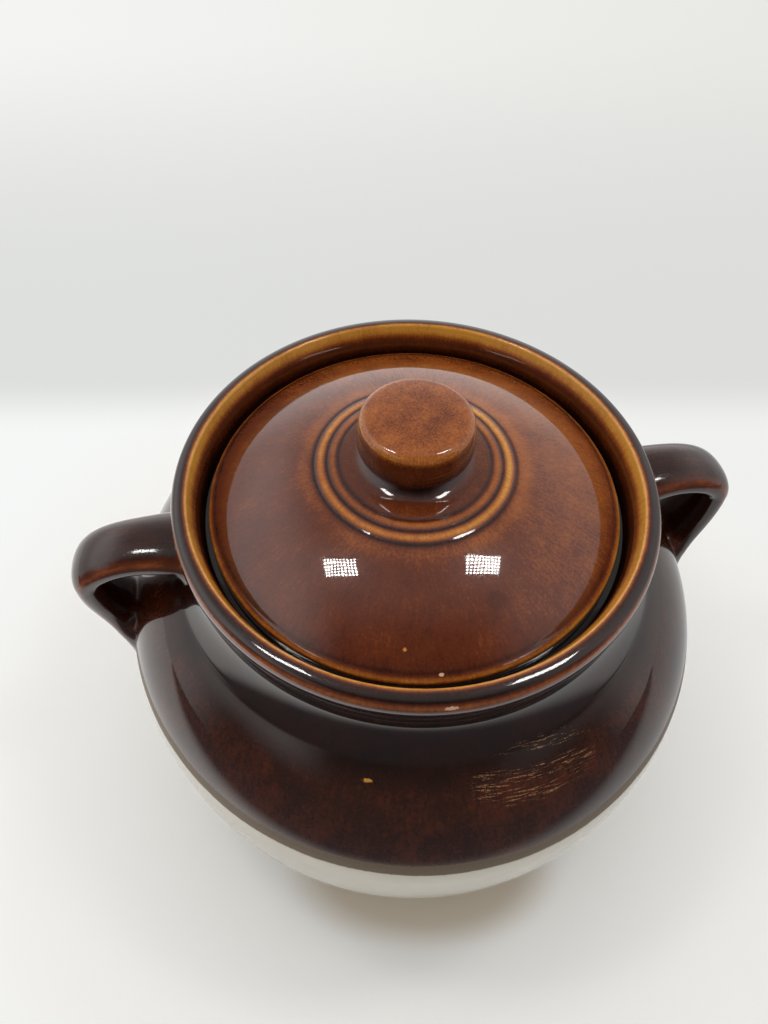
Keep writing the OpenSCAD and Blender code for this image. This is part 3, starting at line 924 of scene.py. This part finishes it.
@shared("specks", "Mask", NUMBER, Vector=VECTOR, Spacing=NUMBER, Radius=NUMBER, Share=NUMBER)
def specks(tree, place, spacing, radius, share):
    """Round specks: one in each chosen cell of a cloud of cells, of uneven size."""
    cell = tree.add("ShaderNodeTexVoronoi", {"Vector": place, "Scale": tree.over(1.0, spacing)})
    away = tree.times(cell.outputs["Distance"], spacing)
    pick = tree.add("ShaderNodeSeparateColor", {0: cell.outputs["Color"]}).outputs
    reach = tree.times(radius, tree.plus(pick[1], 0.35))
    inside = tree.ramp(tree.over(away, reach), 0.7, 1.1, 1.0, 0.0)
    return tree.times(inside, tree.maths("LESS_THAN", pick[0], share))


@shared("spot", "Mask", NUMBER, Vector=VECTOR, Centre=VECTOR, Radii=VECTOR, Ragged=NUMBER)
def spot(tree, place, centre, radii, ragged):
    """A ragged spot round a point, stretched by the three lengths of its radii."""
    away = tree.add("ShaderNodeVectorMath", {0: place, 1: centre}, operation="SUBTRACT")
    share = tree.add("ShaderNodeVectorMath", {0: away.outputs[0], 1: radii}, operation="DIVIDE")
    far = tree.add("ShaderNodeVectorMath", {0: share.outputs[0]}, operation="LENGTH")
    frayed = tree.times(tree.drift(place, 0.6 * MM), ragged)
    return tree.ramp(tree.plus(far.outputs["Value"], frayed), 0.75, 1.0, 1.0, 0.0)


@shared("glaze_skin", "Height", NUMBER, Vector=VECTOR, Wave_Size=NUMBER, Wave=NUMBER,
        Peel_Size=NUMBER, Peel=NUMBER)
def skin(tree, place, wave_size, wave, peel_size, peel):
    """Height in metres of the fired glaze: slow waves and a fine orange peel."""
    waves = tree.times(tree.noise(place, wave_size, 1.0), wave)
    return tree.plus(waves, tree.times(tree.noise(place, peel_size, 2.0), peel))


# ---- Materials ----

GLAZE_IOR = 1.54
WEAR_COAT, WEAR_ROUGHNESS = 0.16, 0.28
WEAR_SIZE, LEAST_WEAR, MOST_WEAR = 9 * MM, 0.8, 1.8


class Finish(NamedTuple):
    """What tells one piece's brown glaze from another's. Sizes are in metres."""

    mottle: tuple  # patch size and strength, grain size and strength
    streaks: float  # strength of the streaks
    dots: tuple  # spacing, radius, share of the cells
    dot_share: float
    dot_colour: str
    ragged: float  # how ragged the spots are
    spots: tuple  # centre, radii, share and colour of each
    skin: tuple  # wave size and height, orange peel's size and height
    rough: float = 1.0  # roughness as a multiple of the gloss


POT = Finish(
    mottle=(11 * MM, 0.16, 0.9 * MM, 0.12), streaks=0.09,
    dots=(3.2 * MM, 0.16 * MM, 0.5), dot_share=0.7, dot_colour="speck", ragged=1.1,
    spots=(((-0.0262, -0.0742, 0.1185), (0.0017, 0.0012, 0.0004), 0.85, "amber"),
           ((-0.0055, -0.0712, 0.1483), (0.0019, 0.0016, 0.0006), 0.95, "chip")),
    skin=(9 * MM, 0.035 * MM, 1.3 * MM, 0.0016 * MM))
HANDLE = Finish(
    mottle=(8 * MM, 0.14, 1.0 * MM, 0.08), streaks=0.34,
    dots=(3.2 * MM, 0.16 * MM, 0.5), dot_share=0.7, dot_colour="speck", ragged=1.0,
    spots=(((-0.1055, 0.0065, 0.1205), (0.0006, 0.0012, 0.0024), 0.95, "speck"),
           ((-0.1015, -0.0080, 0.1165), (0.0018, 0.0012, 0.0012), 0.95, "speck")),
    skin=(4 * MM, 0.05 * MM, 1.2 * MM, 0.004 * MM), rough=2.4)
LID = Finish(
    mottle=(10 * MM, 0.13, 0.7 * MM, 0.13), streaks=0.09,
    dots=(2.6 * MM, 0.14 * MM, 0.5), dot_share=0.55, dot_colour="deep", ragged=1.1,
    spots=(((-0.0130, -0.0531, 0.1449), (0.0005, 0.0005, 0.0008), 0.8, "amber"),
           ((-0.0049, -0.0597, 0.1420), (0.0008, 0.0005, 0.0005), 0.9, "chip"),
           ((0.0125, -0.0453, 0.1485), (0.0034, 0.0026, 0.0030), 0.3, "deep")),
    skin=(8 * MM, 0.030 * MM, 1.2 * MM, 0.0016 * MM))
KNOB = Finish(
    mottle=(6 * MM, 0.17, 0.6 * MM, 0.24), streaks=0.12,
    dots=(1.3 * MM, 0.12 * MM, 0.5), dot_share=0.45, dot_colour="deep", ragged=1.0, spots=(),
    skin=(5 * MM, 0.022 * MM, 0.9 * MM, 0.002 * MM))

SPARKS, SPARK_SHARE = (5.5 * MM, 0.20 * MM, 0.16), 0.7
FRECKLES, FRECKLE_SHARE, FRECKLE = (3.4 * MM, 0.17 * MM, 0.5), 0.42, (0.20, 0.12, 0.06, 1.0)
GRIT, GRIT_SHARE, GRIT_COLOUR = (2.0 * MM, 0.2 * MM, 0.4), 0.6, (0.10, 0.06, 0.04, 1.0)
SCRATCH_CENTRE = (0.0185, -0.0775, 0.1165)
SCRATCH_REACH = (0.021, 0.012, 0.0072)
SCRATCH_RADIUS, SCRATCH_TILT, SCRATCH_STRETCH = 0.080, 0.10, (0.055, 1.0, 1.0)
SCRATCH_WIDTH, BUNDLE_WIDTH, SCRATCH_BREAK = 0.33 * MM, 2.6 * MM, 0.45 * MM
SCRATCH_SHARE, SCRATCH = 0.75, (0.46, 0.23, 0.105, 1.0)
BRUSH_SIZE, BRUSH_STRETCH = 1.6 * MM, (0.12, 1.0, 0.35)
POT_RUNS, LID_RUNS, KNOB_RUNS = (0.9 * MM, 5.0), (0.8 * MM, 6.0), (0.8 * MM, 4.0)
WANDER_SIZE, WANDER, FRAY_SIZE, FRAY = 22 * MM, 1.4 * MM, 0.8 * MM, 0.7 * MM
LINE_EDGE, BAND_EDGE = (-0.2 * MM, 0.3 * MM), (-1.0 * MM, 0.9 * MM)
FOOT_EDGE = (2.6 * MM, 3.1 * MM)
CREAM_CLOUD, MATT_GRAIN, CLAY_GRAIN = 14 * MM, 0.7 * MM, 1.1 * MM
SAND_SIZE, SAND_HEIGHT, MATT_SAND = 0.5 * MM, 0.03 * MM, 0.4
CREAM_ROUGH, MATT_ROUGH, CLAY_ROUGH = 0.10, 0.60, 0.85
# Painted sheen on the lid: how much it follows the room's right and its rear.
LID_PAINTED_SHEEN = (0.70, 0.71)


def opaque(rgb, share=1.0):
    """A colour, or a share of its light, with full alpha."""
    return (*[c * share for c in rgb], 1.0)


def glazed(tree, colour_here, roughness, height):
    """A Principled shader with the glaze's surface, a thin haze of wear, and the output."""
    bump = tree.add("ShaderNodeBump", {"Strength": 1.0, "Distance": 1.0, "Height": height})
    shader = tree.add("ShaderNodeBsdfPrincipled", {
        "Base Color": colour_here, "Roughness": roughness, "Normal": bump.outputs[0],
        "IOR": GLAZE_IOR, "Coat Weight": WEAR_COAT, "Coat Roughness": WEAR_ROUGHNESS})
    tree.add("ShaderNodeOutputMaterial", {0: shader.outputs[0]})


def new_material(name):
    """An empty node material and its tree."""
    material = bpy.data.materials.new(name)
    material.use_nodes = True
    material.node_tree.nodes.clear()
    return material, Tree(material.node_tree)


def toned(tree, place, finish, streaks):
    """The mesh's tone with the finish's mottle and its streaks."""
    tone = tree.plus(tree.mark("tone"), mottle(tree, place, *finish.mottle))
    return tree.plus(tone, tree.times(streaks, finish.streaks))


def dotted(tree, place, glaze, finish, tone):
    """The brown glaze's colour at a tone, with the finish's dots."""
    brown = glaze_tone(tree, tone, *[opaque(getattr(glaze, step.lower())) for step in TONE_STEPS])
    return tree.lay(brown, specks(tree, place, *finish.dots), finish.dot_share,
                    opaque(getattr(glaze, finish.dot_colour)))


def spotted(tree, place, glaze, finish, brown):
    """The colour with the finish's spots, such as a chip or a drop of another glaze."""
    for centre, radii, share, mark in finish.spots:
        brown = tree.lay(brown, spot(tree, place, centre, radii, finish.ragged), share,
                         opaque(getattr(glaze, mark)))
    return brown


def worn_gloss(tree, place, gloss):
    """Roughness of the glaze, with faint cloudy wear."""
    cloud = tree.noise(place, WEAR_SIZE, 3.0, 0.6)
    return tree.ramp(cloud, 0.35, 0.75, gloss * LEAST_WEAR, gloss * MOST_WEAR)


def brown_material(name, glaze, finish, streaks, painted_sheen=None):
    """A material of brown glaze alone. `streaks` and `painted_sheen` add to its tone."""
    material, tree = new_material(name)
    place = tree.place()
    tone = toned(tree, place, finish, streaks(tree, place))
    if painted_sheen:
        tone = tree.plus(tone, painted_sheen(tree, place))
    brown = dotted(tree, place, glaze, finish, tone)
    brown = spotted(tree, place, glaze, finish, brown)
    rough = worn_gloss(tree, place, glaze.gloss * finish.rough)
    glazed(tree, brown, rough, skin(tree, place, *finish.skin))
    return material


def scratch_mask(tree, place):
    """Short golden scratches on the shoulder, in a few bundles that run round the pot."""
    x, y, z = tree.parts(place)
    round_pot = tree.times(tree.maths("ARCTAN2", y, x), SCRATCH_RADIUS)
    tilt = tree.plus(z, tree.times(round_pot, SCRATCH_TILT))
    sheet = tree.vector(round_pot, tilt)
    lines = tree.add("ShaderNodeMapping", {0: sheet, "Scale": SCRATCH_STRETCH}).outputs[0]
    fine = tree.noise(lines, SCRATCH_WIDTH, 3.0, 0.6)
    bundle = tree.noise(lines, BUNDLE_WIDTH, 1.0)
    broken = tree.noise(sheet, SCRATCH_BREAK, 2.0, 0.8)
    mask = tree.times(tree.ramp(fine, 0.52, 0.62), tree.ramp(bundle, 0.43, 0.53))
    mask = tree.times(mask, tree.ramp(broken, 0.42, 0.58))
    return tree.times(mask, spot(tree, place, SCRATCH_CENTRE, SCRATCH_REACH, 0.5))


def pot_material(pot, glaze):
    """Brown glaze over cream, with a matt line between them and a bare foot."""
    material, tree = new_material("pot_glaze")
    place = tree.place()
    z = tree.parts(place)[2]
    tone = toned(tree, place, POT, runs(tree, place, *POT_RUNS))
    brown = dotted(tree, place, glaze, POT, tone)
    brown = tree.lay(brown, specks(tree, place, *SPARKS), SPARK_SHARE, opaque(glaze.orange))
    brown = tree.lay(brown, scratch_mask(tree, place), SCRATCH_SHARE, SCRATCH)
    brown = spotted(tree, place, glaze, POT, brown)

    # The edges of the glazes wander slowly and are frayed.
    level = tree.plus(z, tree.times(tree.drift(place, WANDER_SIZE), WANDER))
    frayed = tree.plus(level, tree.times(tree.drift(place, FRAY_SIZE), FRAY))
    over_cream = tree.ramp(frayed, *(pot.glaze_line + step for step in LINE_EDGE))
    glossy = tree.ramp(frayed, *(pot.glaze_line + pot.line_band + step for step in BAND_EDGE))
    bare = tree.ramp(level, *FOOT_EDGE, 1.0, 0.0)
    brown_here = tree.maths("MAXIMUM", glossy, tree.minus(1.0, tree.mark("outside")))

    cream = tree.blend(tree.noise(place, CREAM_CLOUD, 3.0, 0.6), opaque(glaze.cream),
                       opaque(glaze.cream, 0.90))
    cream = tree.lay(cream, specks(tree, place, *FRECKLES), FRECKLE_SHARE, FRECKLE)
    matt = tree.blend(tree.noise(place, MATT_GRAIN, 3.0, 0.7), opaque(glaze.line, 0.7),
                      opaque(glaze.line, 1.3))
    clay = tree.blend(tree.noise(place, CLAY_GRAIN, 4.0, 0.7), opaque(glaze.clay),
                      opaque(glaze.clay, 0.72))
    clay = tree.lay(clay, specks(tree, place, *GRIT), GRIT_SHARE, GRIT_COLOUR)
    below = tree.blend(bare, tree.blend(over_cream, cream, matt), clay)

    rough = tree.mix(bare, tree.mix(over_cream, CREAM_ROUGH, MATT_ROUGH), CLAY_ROUGH)
    rough = tree.mix(brown_here, rough, worn_gloss(tree, place, glaze.gloss))
    sand = tree.times(tree.noise(place, SAND_SIZE, 3.0), SAND_HEIGHT)
    gritty = tree.maths("MAXIMUM", bare, tree.times(over_cream, MATT_SAND))
    sand = tree.times(sand, tree.mix(brown_here, gritty, 0.0))
    glazed(tree, tree.blend(brown_here, below, brown), rough,
           tree.plus(skin(tree, place, *POT.skin), sand))
    return material


def handle_material(glaze):
    """Near-black brown glaze that breaks to orange on the strap's edges."""
    def brushed(tree, place):
        """Streaks along the strap."""
        stretched = tree.add("ShaderNodeMapping", {0: place, "Scale": BRUSH_STRETCH}).outputs[0]
        return tree.drift(stretched, BRUSH_SIZE, 3.0, 0.6)

    return brown_material("handle_glaze", glaze, HANDLE, brushed)


def lid_material(glaze):
    """Mottled red-brown glaze, rings by the mesh's tone, and a painted sheen to the right and
    rear.
    """
    def painted_sheen(tree, place):
        """Painted sheen, lighter to the right and the rear, where the lid faces the walls."""
        right, rear, _ = in_room(tree, place)
        across = tree.plus(tree.times(right, LID_PAINTED_SHEEN[0]), tree.times(rear, LID_PAINTED_SHEEN[1]))
        return tree.ramp(across, -0.040, 0.050, -0.035, 0.105)

    return brown_material("lid_glaze", glaze, LID,
                          lambda tree, place: runs(tree, place, *LID_RUNS), painted_sheen)


def knob_material(glaze):
    """Finely mottled orange-brown glaze, with a painted shade towards the foot."""
    return brown_material("knob_glaze", glaze, KNOB,
                          lambda tree, place: runs(tree, place, *KNOB_RUNS))


# ---- Studio ----

CAMERA_PLACE = (-0.03420, -0.13566, 0.31825)
# The camera's turn about the vertical, its tilt up from straight down, and its roll.
CAMERA_TURNS = ((-9.2, "Z"), (42.84, "X"), (-0.19, "Z"))
CAMERA_SHIFT = (0.0107, -0.0827)
SENSOR_WIDTH = 36.0
FLOOR_RADIUS = 4.0
REAR = (0.1599, 0.9871)
PANELS = ((-0.1535, 0.0015), (0.1555, -0.0385))
PANEL_SIZE = (0.086, 0.046)
PANEL_COLOUR = (1.0, 0.985, 0.96, 1.0)
LAMP_PITCH = 8.6 * MM

# Plain tones of the room. A pair is for the left and the right.
NEAR_FLOOR = ((0.92, 0.935, 0.925, 1.0), (0.875, 0.88, 0.865, 1.0))
SHADED_FLOOR = (0.735, 0.72, 0.68, 1.0)
LOW_WALL_RIGHT = (0.725, 0.73, 0.715, 1.0)
HIGH_WALL = ((0.92, 0.92, 0.905, 1.0), (0.80, 0.80, 0.77, 1.0))
MIRRORED = ((1.25, 1.24, 1.20, 1.0), (0.74, 0.74, 0.73, 1.0))
OPEN_FRONT = (0.15, 0.15, 0.16, 1.0)
FAR_ROOM = (0.86, 0.86, 0.845, 1.0)

# The warm shade of the belly on the floor: its middle and its two half widths.
WARM_SHADE = (0.58, 0.515, 0.425, 1.0)
WARM_MIDDLE, WARM_REACH = (0.006, -0.072), (0.055, 0.027)


def in_room(tree, way):
    """How far a place or a direction lies to the right, to the rear and up in the room."""
    x, y, z = tree.parts(way)
    right = tree.minus(tree.times(x, REAR[1]), tree.times(y, REAR[0]))
    rear = tree.plus(tree.times(x, REAR[0]), tree.times(y, REAR[1]))
    return right, rear, z


def floor_material(studio):
    """Pale floor that keeps the pot's shadow and runs out into the background.

    Its matt colour is lit by the lamps, with a painted warm shadow under the front of the
    belly. Far from the pot, and in reflections, it shows the plain tones of the room
    instead, with the dark open front of the light box.
    """
    material, tree = new_material("studio_floor")
    place = tree.place()
    right, rear, _ = in_room(tree, place)
    matt = tree.blend(tree.noise(place, 0.10, 3.0), opaque(studio.floor),
                      opaque(studio.floor, 0.97))
    aside = tree.over(tree.minus(right, WARM_MIDDLE[0]), WARM_REACH[0])
    ahead = tree.over(tree.minus(rear, WARM_MIDDLE[1]), WARM_REACH[1])
    matt = tree.blend(tree.ramp(tree.far(aside, ahead), 0.60, 1.0, 1.0, 0.0), matt, WARM_SHADE)
    shader = tree.add("ShaderNodeBsdfPrincipled", {
        "Base Color": matt, "Roughness": 0.7, "Specular IOR Level": 0.1})

    slant = tree.ramp(tree.over(right, tree.maths("MAXIMUM", rear, 0.1)), -0.9, 0.9)
    wall = tree.blend(tree.ramp(rear, 0.26, 0.80),
                      tree.blend(slant, opaque(studio.wall), LOW_WALL_RIGHT),
                      tree.blend(slant, *HIGH_WALL))
    shaded = tree.times(slant, tree.ramp(rear, 0.10, -0.04))
    near = tree.blend(shaded, tree.blend(slant, *NEAR_FLOOR), SHADED_FLOOR)
    shown = tree.blend(tree.ramp(rear, 0.150, 0.198), near, wall)
    mirrored = tree.blend(tree.ramp(rear, -0.13, -0.25),
                          tree.blend(tree.ramp(right, -0.15, 0.15), *MIRRORED), OPEN_FRONT)
    path = tree.add("ShaderNodeLightPath").outputs
    glow = tree.add("ShaderNodeEmission", {
        "Color": tree.blend(path["Is Camera Ray"], mirrored, shown)})
    across = tree.far(*tree.parts(place)[:2])
    seen = tree.times(path["Is Camera Ray"], tree.ramp(across, 0.150, 0.235))
    glossy = tree.times(path["Is Glossy Ray"], tree.ramp(across, 0.10, 0.17))
    share = tree.maths("MAXIMUM", seen, glossy)
    both = tree.add("ShaderNodeMixShader", {0: share, 1: shader.outputs[0], 2: glow.outputs[0]})
    tree.add("ShaderNodeOutputMaterial", {0: both.outputs[0]})
    return material


def panel_material(studio):
    """A lamp panel: a grid of round lamps, each (1 + cos) across its pitch both ways."""
    material, tree = new_material("lamp_panel")
    turns = 2 * math.pi / LAMP_PITCH
    across, along_it = (tree.plus(1.0, tree.maths("COSINE", tree.times(way, turns)))
                        for way in in_room(tree, tree.place())[:2])
    dots = tree.ramp(tree.times(across, along_it), 0.8, 3.4, 0.03, 4.2)
    glow = tree.add("ShaderNodeEmission", {
        "Color": PANEL_COLOUR, "Strength": tree.times(dots, studio.panel_light)})
    tree.add("ShaderNodeOutputMaterial", {0: glow.outputs[0]})
    return material


def room_world(studio):
    """Pale walls behind and beside the pot, a dimmer ceiling and a dark open front.

    Reflections see the walls. Matt surfaces get the soft light of the box instead, which
    comes mostly from above.
    """
    world = bpy.data.worlds.new("light_box")
    bpy.context.scene.world = world
    world.use_nodes = True
    world.node_tree.nodes.clear()
    tree = Tree(world.node_tree)
    right, rear, up = in_room(tree, tree.add("ShaderNodeTexCoord").outputs["Generated"])
    aside = tree.maths("ABSOLUTE", right)

    # The walls fade upwards, to both sides and most of all to the front, and the middle of
    # the rear wall is the brightest.
    level = tree.ramp(up, 0.10, 0.92, 1.0, 0.36)
    for share in (tree.ramp(right, -0.9, 0.9, 1.04, 0.93),
                  tree.ramp(aside, 0.5, 0.9, 1.0, 0.80),
                  tree.ramp(rear, -0.12, -0.50, 1.0, 0.14),
                  tree.ramp(rear, 0.70, 0.98, studio.room_light, studio.room_light * 1.5)):
        level = tree.times(level, share)
    # Both sides are brighter again above the pot, the left one more so.
    flank = tree.times(tree.ramp(aside, 0.36, 0.66), tree.ramp(up, 0.25, 0.60))
    flank = tree.times(flank, tree.ramp(right, -0.5, 0.5, 0.85, 0.33))
    level = tree.plus(level, flank)

    soft = tree.ramp(up, 0.05, 0.95, studio.soft_low, studio.soft_high)
    soft = tree.times(soft, tree.ramp(rear, -0.10, -0.55, 1.0, 0.42))
    soft = tree.times(soft, tree.ramp(right, -0.8, 0.6, 1.25, 0.93))
    path = tree.add("ShaderNodeLightPath").outputs
    level = tree.mix(path["Is Diffuse Ray"], level, soft)
    shade = tree.add("ShaderNodeCombineColor", {0: level, 1: level, 2: level}).outputs[0]
    seen = tree.blend(path["Is Camera Ray"], shade, FAR_ROOM)
    back = tree.add("ShaderNodeBackground", {"Color": seen})
    tree.add("ShaderNodeOutputWorld", {0: back.outputs[0]})


def flat_sheet(name, centre, size):
    """A level rectangle round a centre, facing down, its sides along the room's."""
    corners = np.array([[-1, -1], [-1, 1], [1, 1], [1, -1]]) * np.array(size) / 2
    turn = np.array([[REAR[1], -REAR[0]], [REAR[0], REAR[1]]])
    vertices = np.concatenate([corners @ turn + centre[:2], np.full((4, 1), centre[2])], 1)
    return piece(name, vertices, [(0, 1, 2, 3)], {})


def floor_disc(name, radius, rings=24, sides=96):
    """A level disc of rings whose spacing grows outwards as the square of their number."""
    angle = around(sides)
    far = radius * (np.arange(1, rings + 1) / rings)[:, None] ** 2
    grid = np.stack([far * np.cos(angle), far * np.sin(angle), 0 * far * angle], -1)
    vertices = np.concatenate([grid.reshape(-1, 3), [[0.0, 0.0, 0.0]]])
    turn = np.arange(sides)
    hub = np.stack([np.full(sides, rings * sides), turn, (turn + 1) % sides], 1)
    faces = ring_faces(rings, sides)[:, ::-1].tolist() + hub.tolist()
    return piece(name, vertices, faces, {})


# ---- Operators ----

# How far the glaze softens each profile, its number of rows and of points round a row,
# how much closer the lid's rows lie where it bends, and the throwing wobble.
POT_SOFT, POT_ROWS, POT_SIDES, POT_WOBBLE = 0.32 * MM, 400, 240, 0.06 * MM
LID_SOFT, LID_ROWS, LID_SIDES, LID_WOBBLE = 0.18 * MM, 400, 240, 0.03 * MM
LID_PULL = 0.0012
KNOB_SOFT, KNOB_ROWS, KNOB_SIDES = 0.55 * MM, 220, 200


class BEANPOT_OT_body(bpy.types.Operator):
    """Add the pot's body"""

    bl_idname = "bean_pot.body"
    bl_label = "Pot body"

    def execute(self, context):
        """Turns the profile from the underside over the rim to the inside of the floor."""
        settings = context.scene.bean_pot
        pot = settings.pot
        line = softened(pot_line(pot), POT_SOFT, POT_ROWS)
        tone, outside = pot_tone(pot, line)
        body = turned("stoneware_pot", line, POT_SIDES, {"tone": tone, "outside": outside},
                      wobble=POT_WOBBLE)
        seat(body, "pot", "pot_body", pot_material(pot, settings.glaze))
        return {"FINISHED"}


class BEANPOT_OT_handles(bpy.types.Operator):
    """Add the two strap handles"""

    bl_idname = "bean_pot.handles"
    bl_label = "Handles"

    def execute(self, context):
        """Sweeps one strap on each side, the left one lower."""
        settings = context.scene.bean_pot
        material = handle_material(settings.glaze)
        for name, sag, side in (("left", settings.handles.sag, -1), ("right", 0.0, 1)):
            made = strap(f"strap_handle_{name}", settings.pot, settings.handles, sag, side)
            seat(made, "pot", f"handle_{name}", material)
        return {"FINISHED"}


class BEANPOT_OT_lid(bpy.types.Operator):
    """Add the lid"""

    bl_idname = "bean_pot.lid"
    bl_label = "Lid"

    def execute(self, context):
        """Turns the domed lid with its rings and its locating flange."""
        settings = context.scene.bean_pot
        line = softened(lid_line(settings.lid), LID_SOFT, LID_ROWS, pull=LID_PULL)
        lid = turned("domed_lid", line, LID_SIDES, {"tone": lid_tone(settings.lid, line)},
                     wobble=LID_WOBBLE)
        seat(lid, "lid", "lid", lid_material(settings.glaze))
        return {"FINISHED"}


class BEANPOT_OT_knob(bpy.types.Operator):
    """Add the knob"""

    bl_idname = "bean_pot.knob"
    bl_label = "Knob"

    def execute(self, context):
        """Turns the knob on top of the lid."""
        settings = context.scene.bean_pot
        low, high = knob_low.z, knob_high.z
        line = softened(knob_line(settings.knob, low, high), KNOB_SOFT, KNOB_ROWS)
        knob = turned("turned_knob", line, KNOB_SIDES,
                      {"tone": knob_tone(settings.knob, line, high)})
        seat(knob, "lid", "lid_knob", knob_material(settings.glaze))
        return {"FINISHED"}


class BEANPOT_OT_studio(bpy.types.Operator):
    """Add the floor, the lamp panels, the room's light and the camera"""

    bl_idname = "bean_pot.studio"
    bl_label = "Studio"

    def execute(self, context):
        """Sets the stage at the photograph's viewing angle."""
        studio = context.scene.bean_pot.studio
        context.scene.view_settings.view_transform = "Standard"
        floor = floor_disc("studio_floor", FLOOR_RADIUS)
        floor.data.materials.append(floor_material(studio))
        lamp = panel_material(studio)
        for number, (x, y) in enumerate(PANELS):
            panel = flat_sheet(f"lamp_panel_{number}", (x, y, studio.panel_height), PANEL_SIZE)
            panel.data.materials.append(lamp)
            panel.visible_camera = False
        room_world(studio)
        data = bpy.data.cameras.new("camera")
        data.lens = studio.lens
        data.sensor_width = SENSOR_WIDTH
        data.shift_x, data.shift_y = CAMERA_SHIFT
        data.clip_start = 0.01
        camera = bpy.data.objects.new("camera", data)
        context.scene.collection.objects.link(camera)
        stand = Matrix.Translation(CAMERA_PLACE)
        for degrees, axis in CAMERA_TURNS:
            stand = stand @ Matrix.Rotation(math.radians(degrees), 4, axis)
        camera.matrix_world = stand
        context.scene.camera = camera
        return {"FINISHED"}


class BEANPOT_PT_panel(bpy.types.Panel):
    """Lists the pot's operators and settings"""

    bl_idname = "BEANPOT_PT_panel"
    bl_label = "Bean Pot"
    bl_space_type = "VIEW_3D"
    bl_region_type = "UI"
    bl_category = "Bean Pot"

    def draw(self, context):
        """One button for each operator, and the settings under it."""
        settings = context.scene.bean_pot
        parts = {"body": settings.pot, "handles": settings.handles, "lid": settings.lid,
                 "knob": settings.knob, "studio": settings.studio, None: settings.glaze}
        for name, group in parts.items():
            box = self.layout.box()
            if name:
                box.operator(f"bean_pot.{name}")
            for key in group.bl_rna.properties.keys():
                if key not in {"rna_type", "name"}:
                    box.prop(group, key)


CLASSES = (
    BEANPOT_PG_pot, BEANPOT_PG_handles, BEANPOT_PG_lid, BEANPOT_PG_knob,
    BEANPOT_PG_glaze, BEANPOT_PG_studio, BEANPOT_PG_settings,
    BEANPOT_OT_body, BEANPOT_OT_handles, BEANPOT_OT_lid, BEANPOT_OT_knob,
    BEANPOT_OT_studio, BEANPOT_PT_panel,
)


def register():
    """Registers the classes and the settings."""
    for cls in CLASSES:
        bpy.utils.register_class(cls)
    bpy.types.Scene.bean_pot = PointerProperty(type=BEANPOT_PG_settings)


def unregister():
    """Takes the settings and the classes away again."""
    del bpy.types.Scene.bean_pot
    for cls in reversed(CLASSES):
        bpy.utils.unregister_class(cls)


def main():
    """Registers the add-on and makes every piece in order."""
    register()
    bpy.ops.bean_pot.studio()
    bpy.ops.bean_pot.body()
    bpy.ops.bean_pot.handles()
    bpy.ops.bean_pot.lid()
    bpy.ops.bean_pot.knob()


if __name__ == "__main__":
    main()
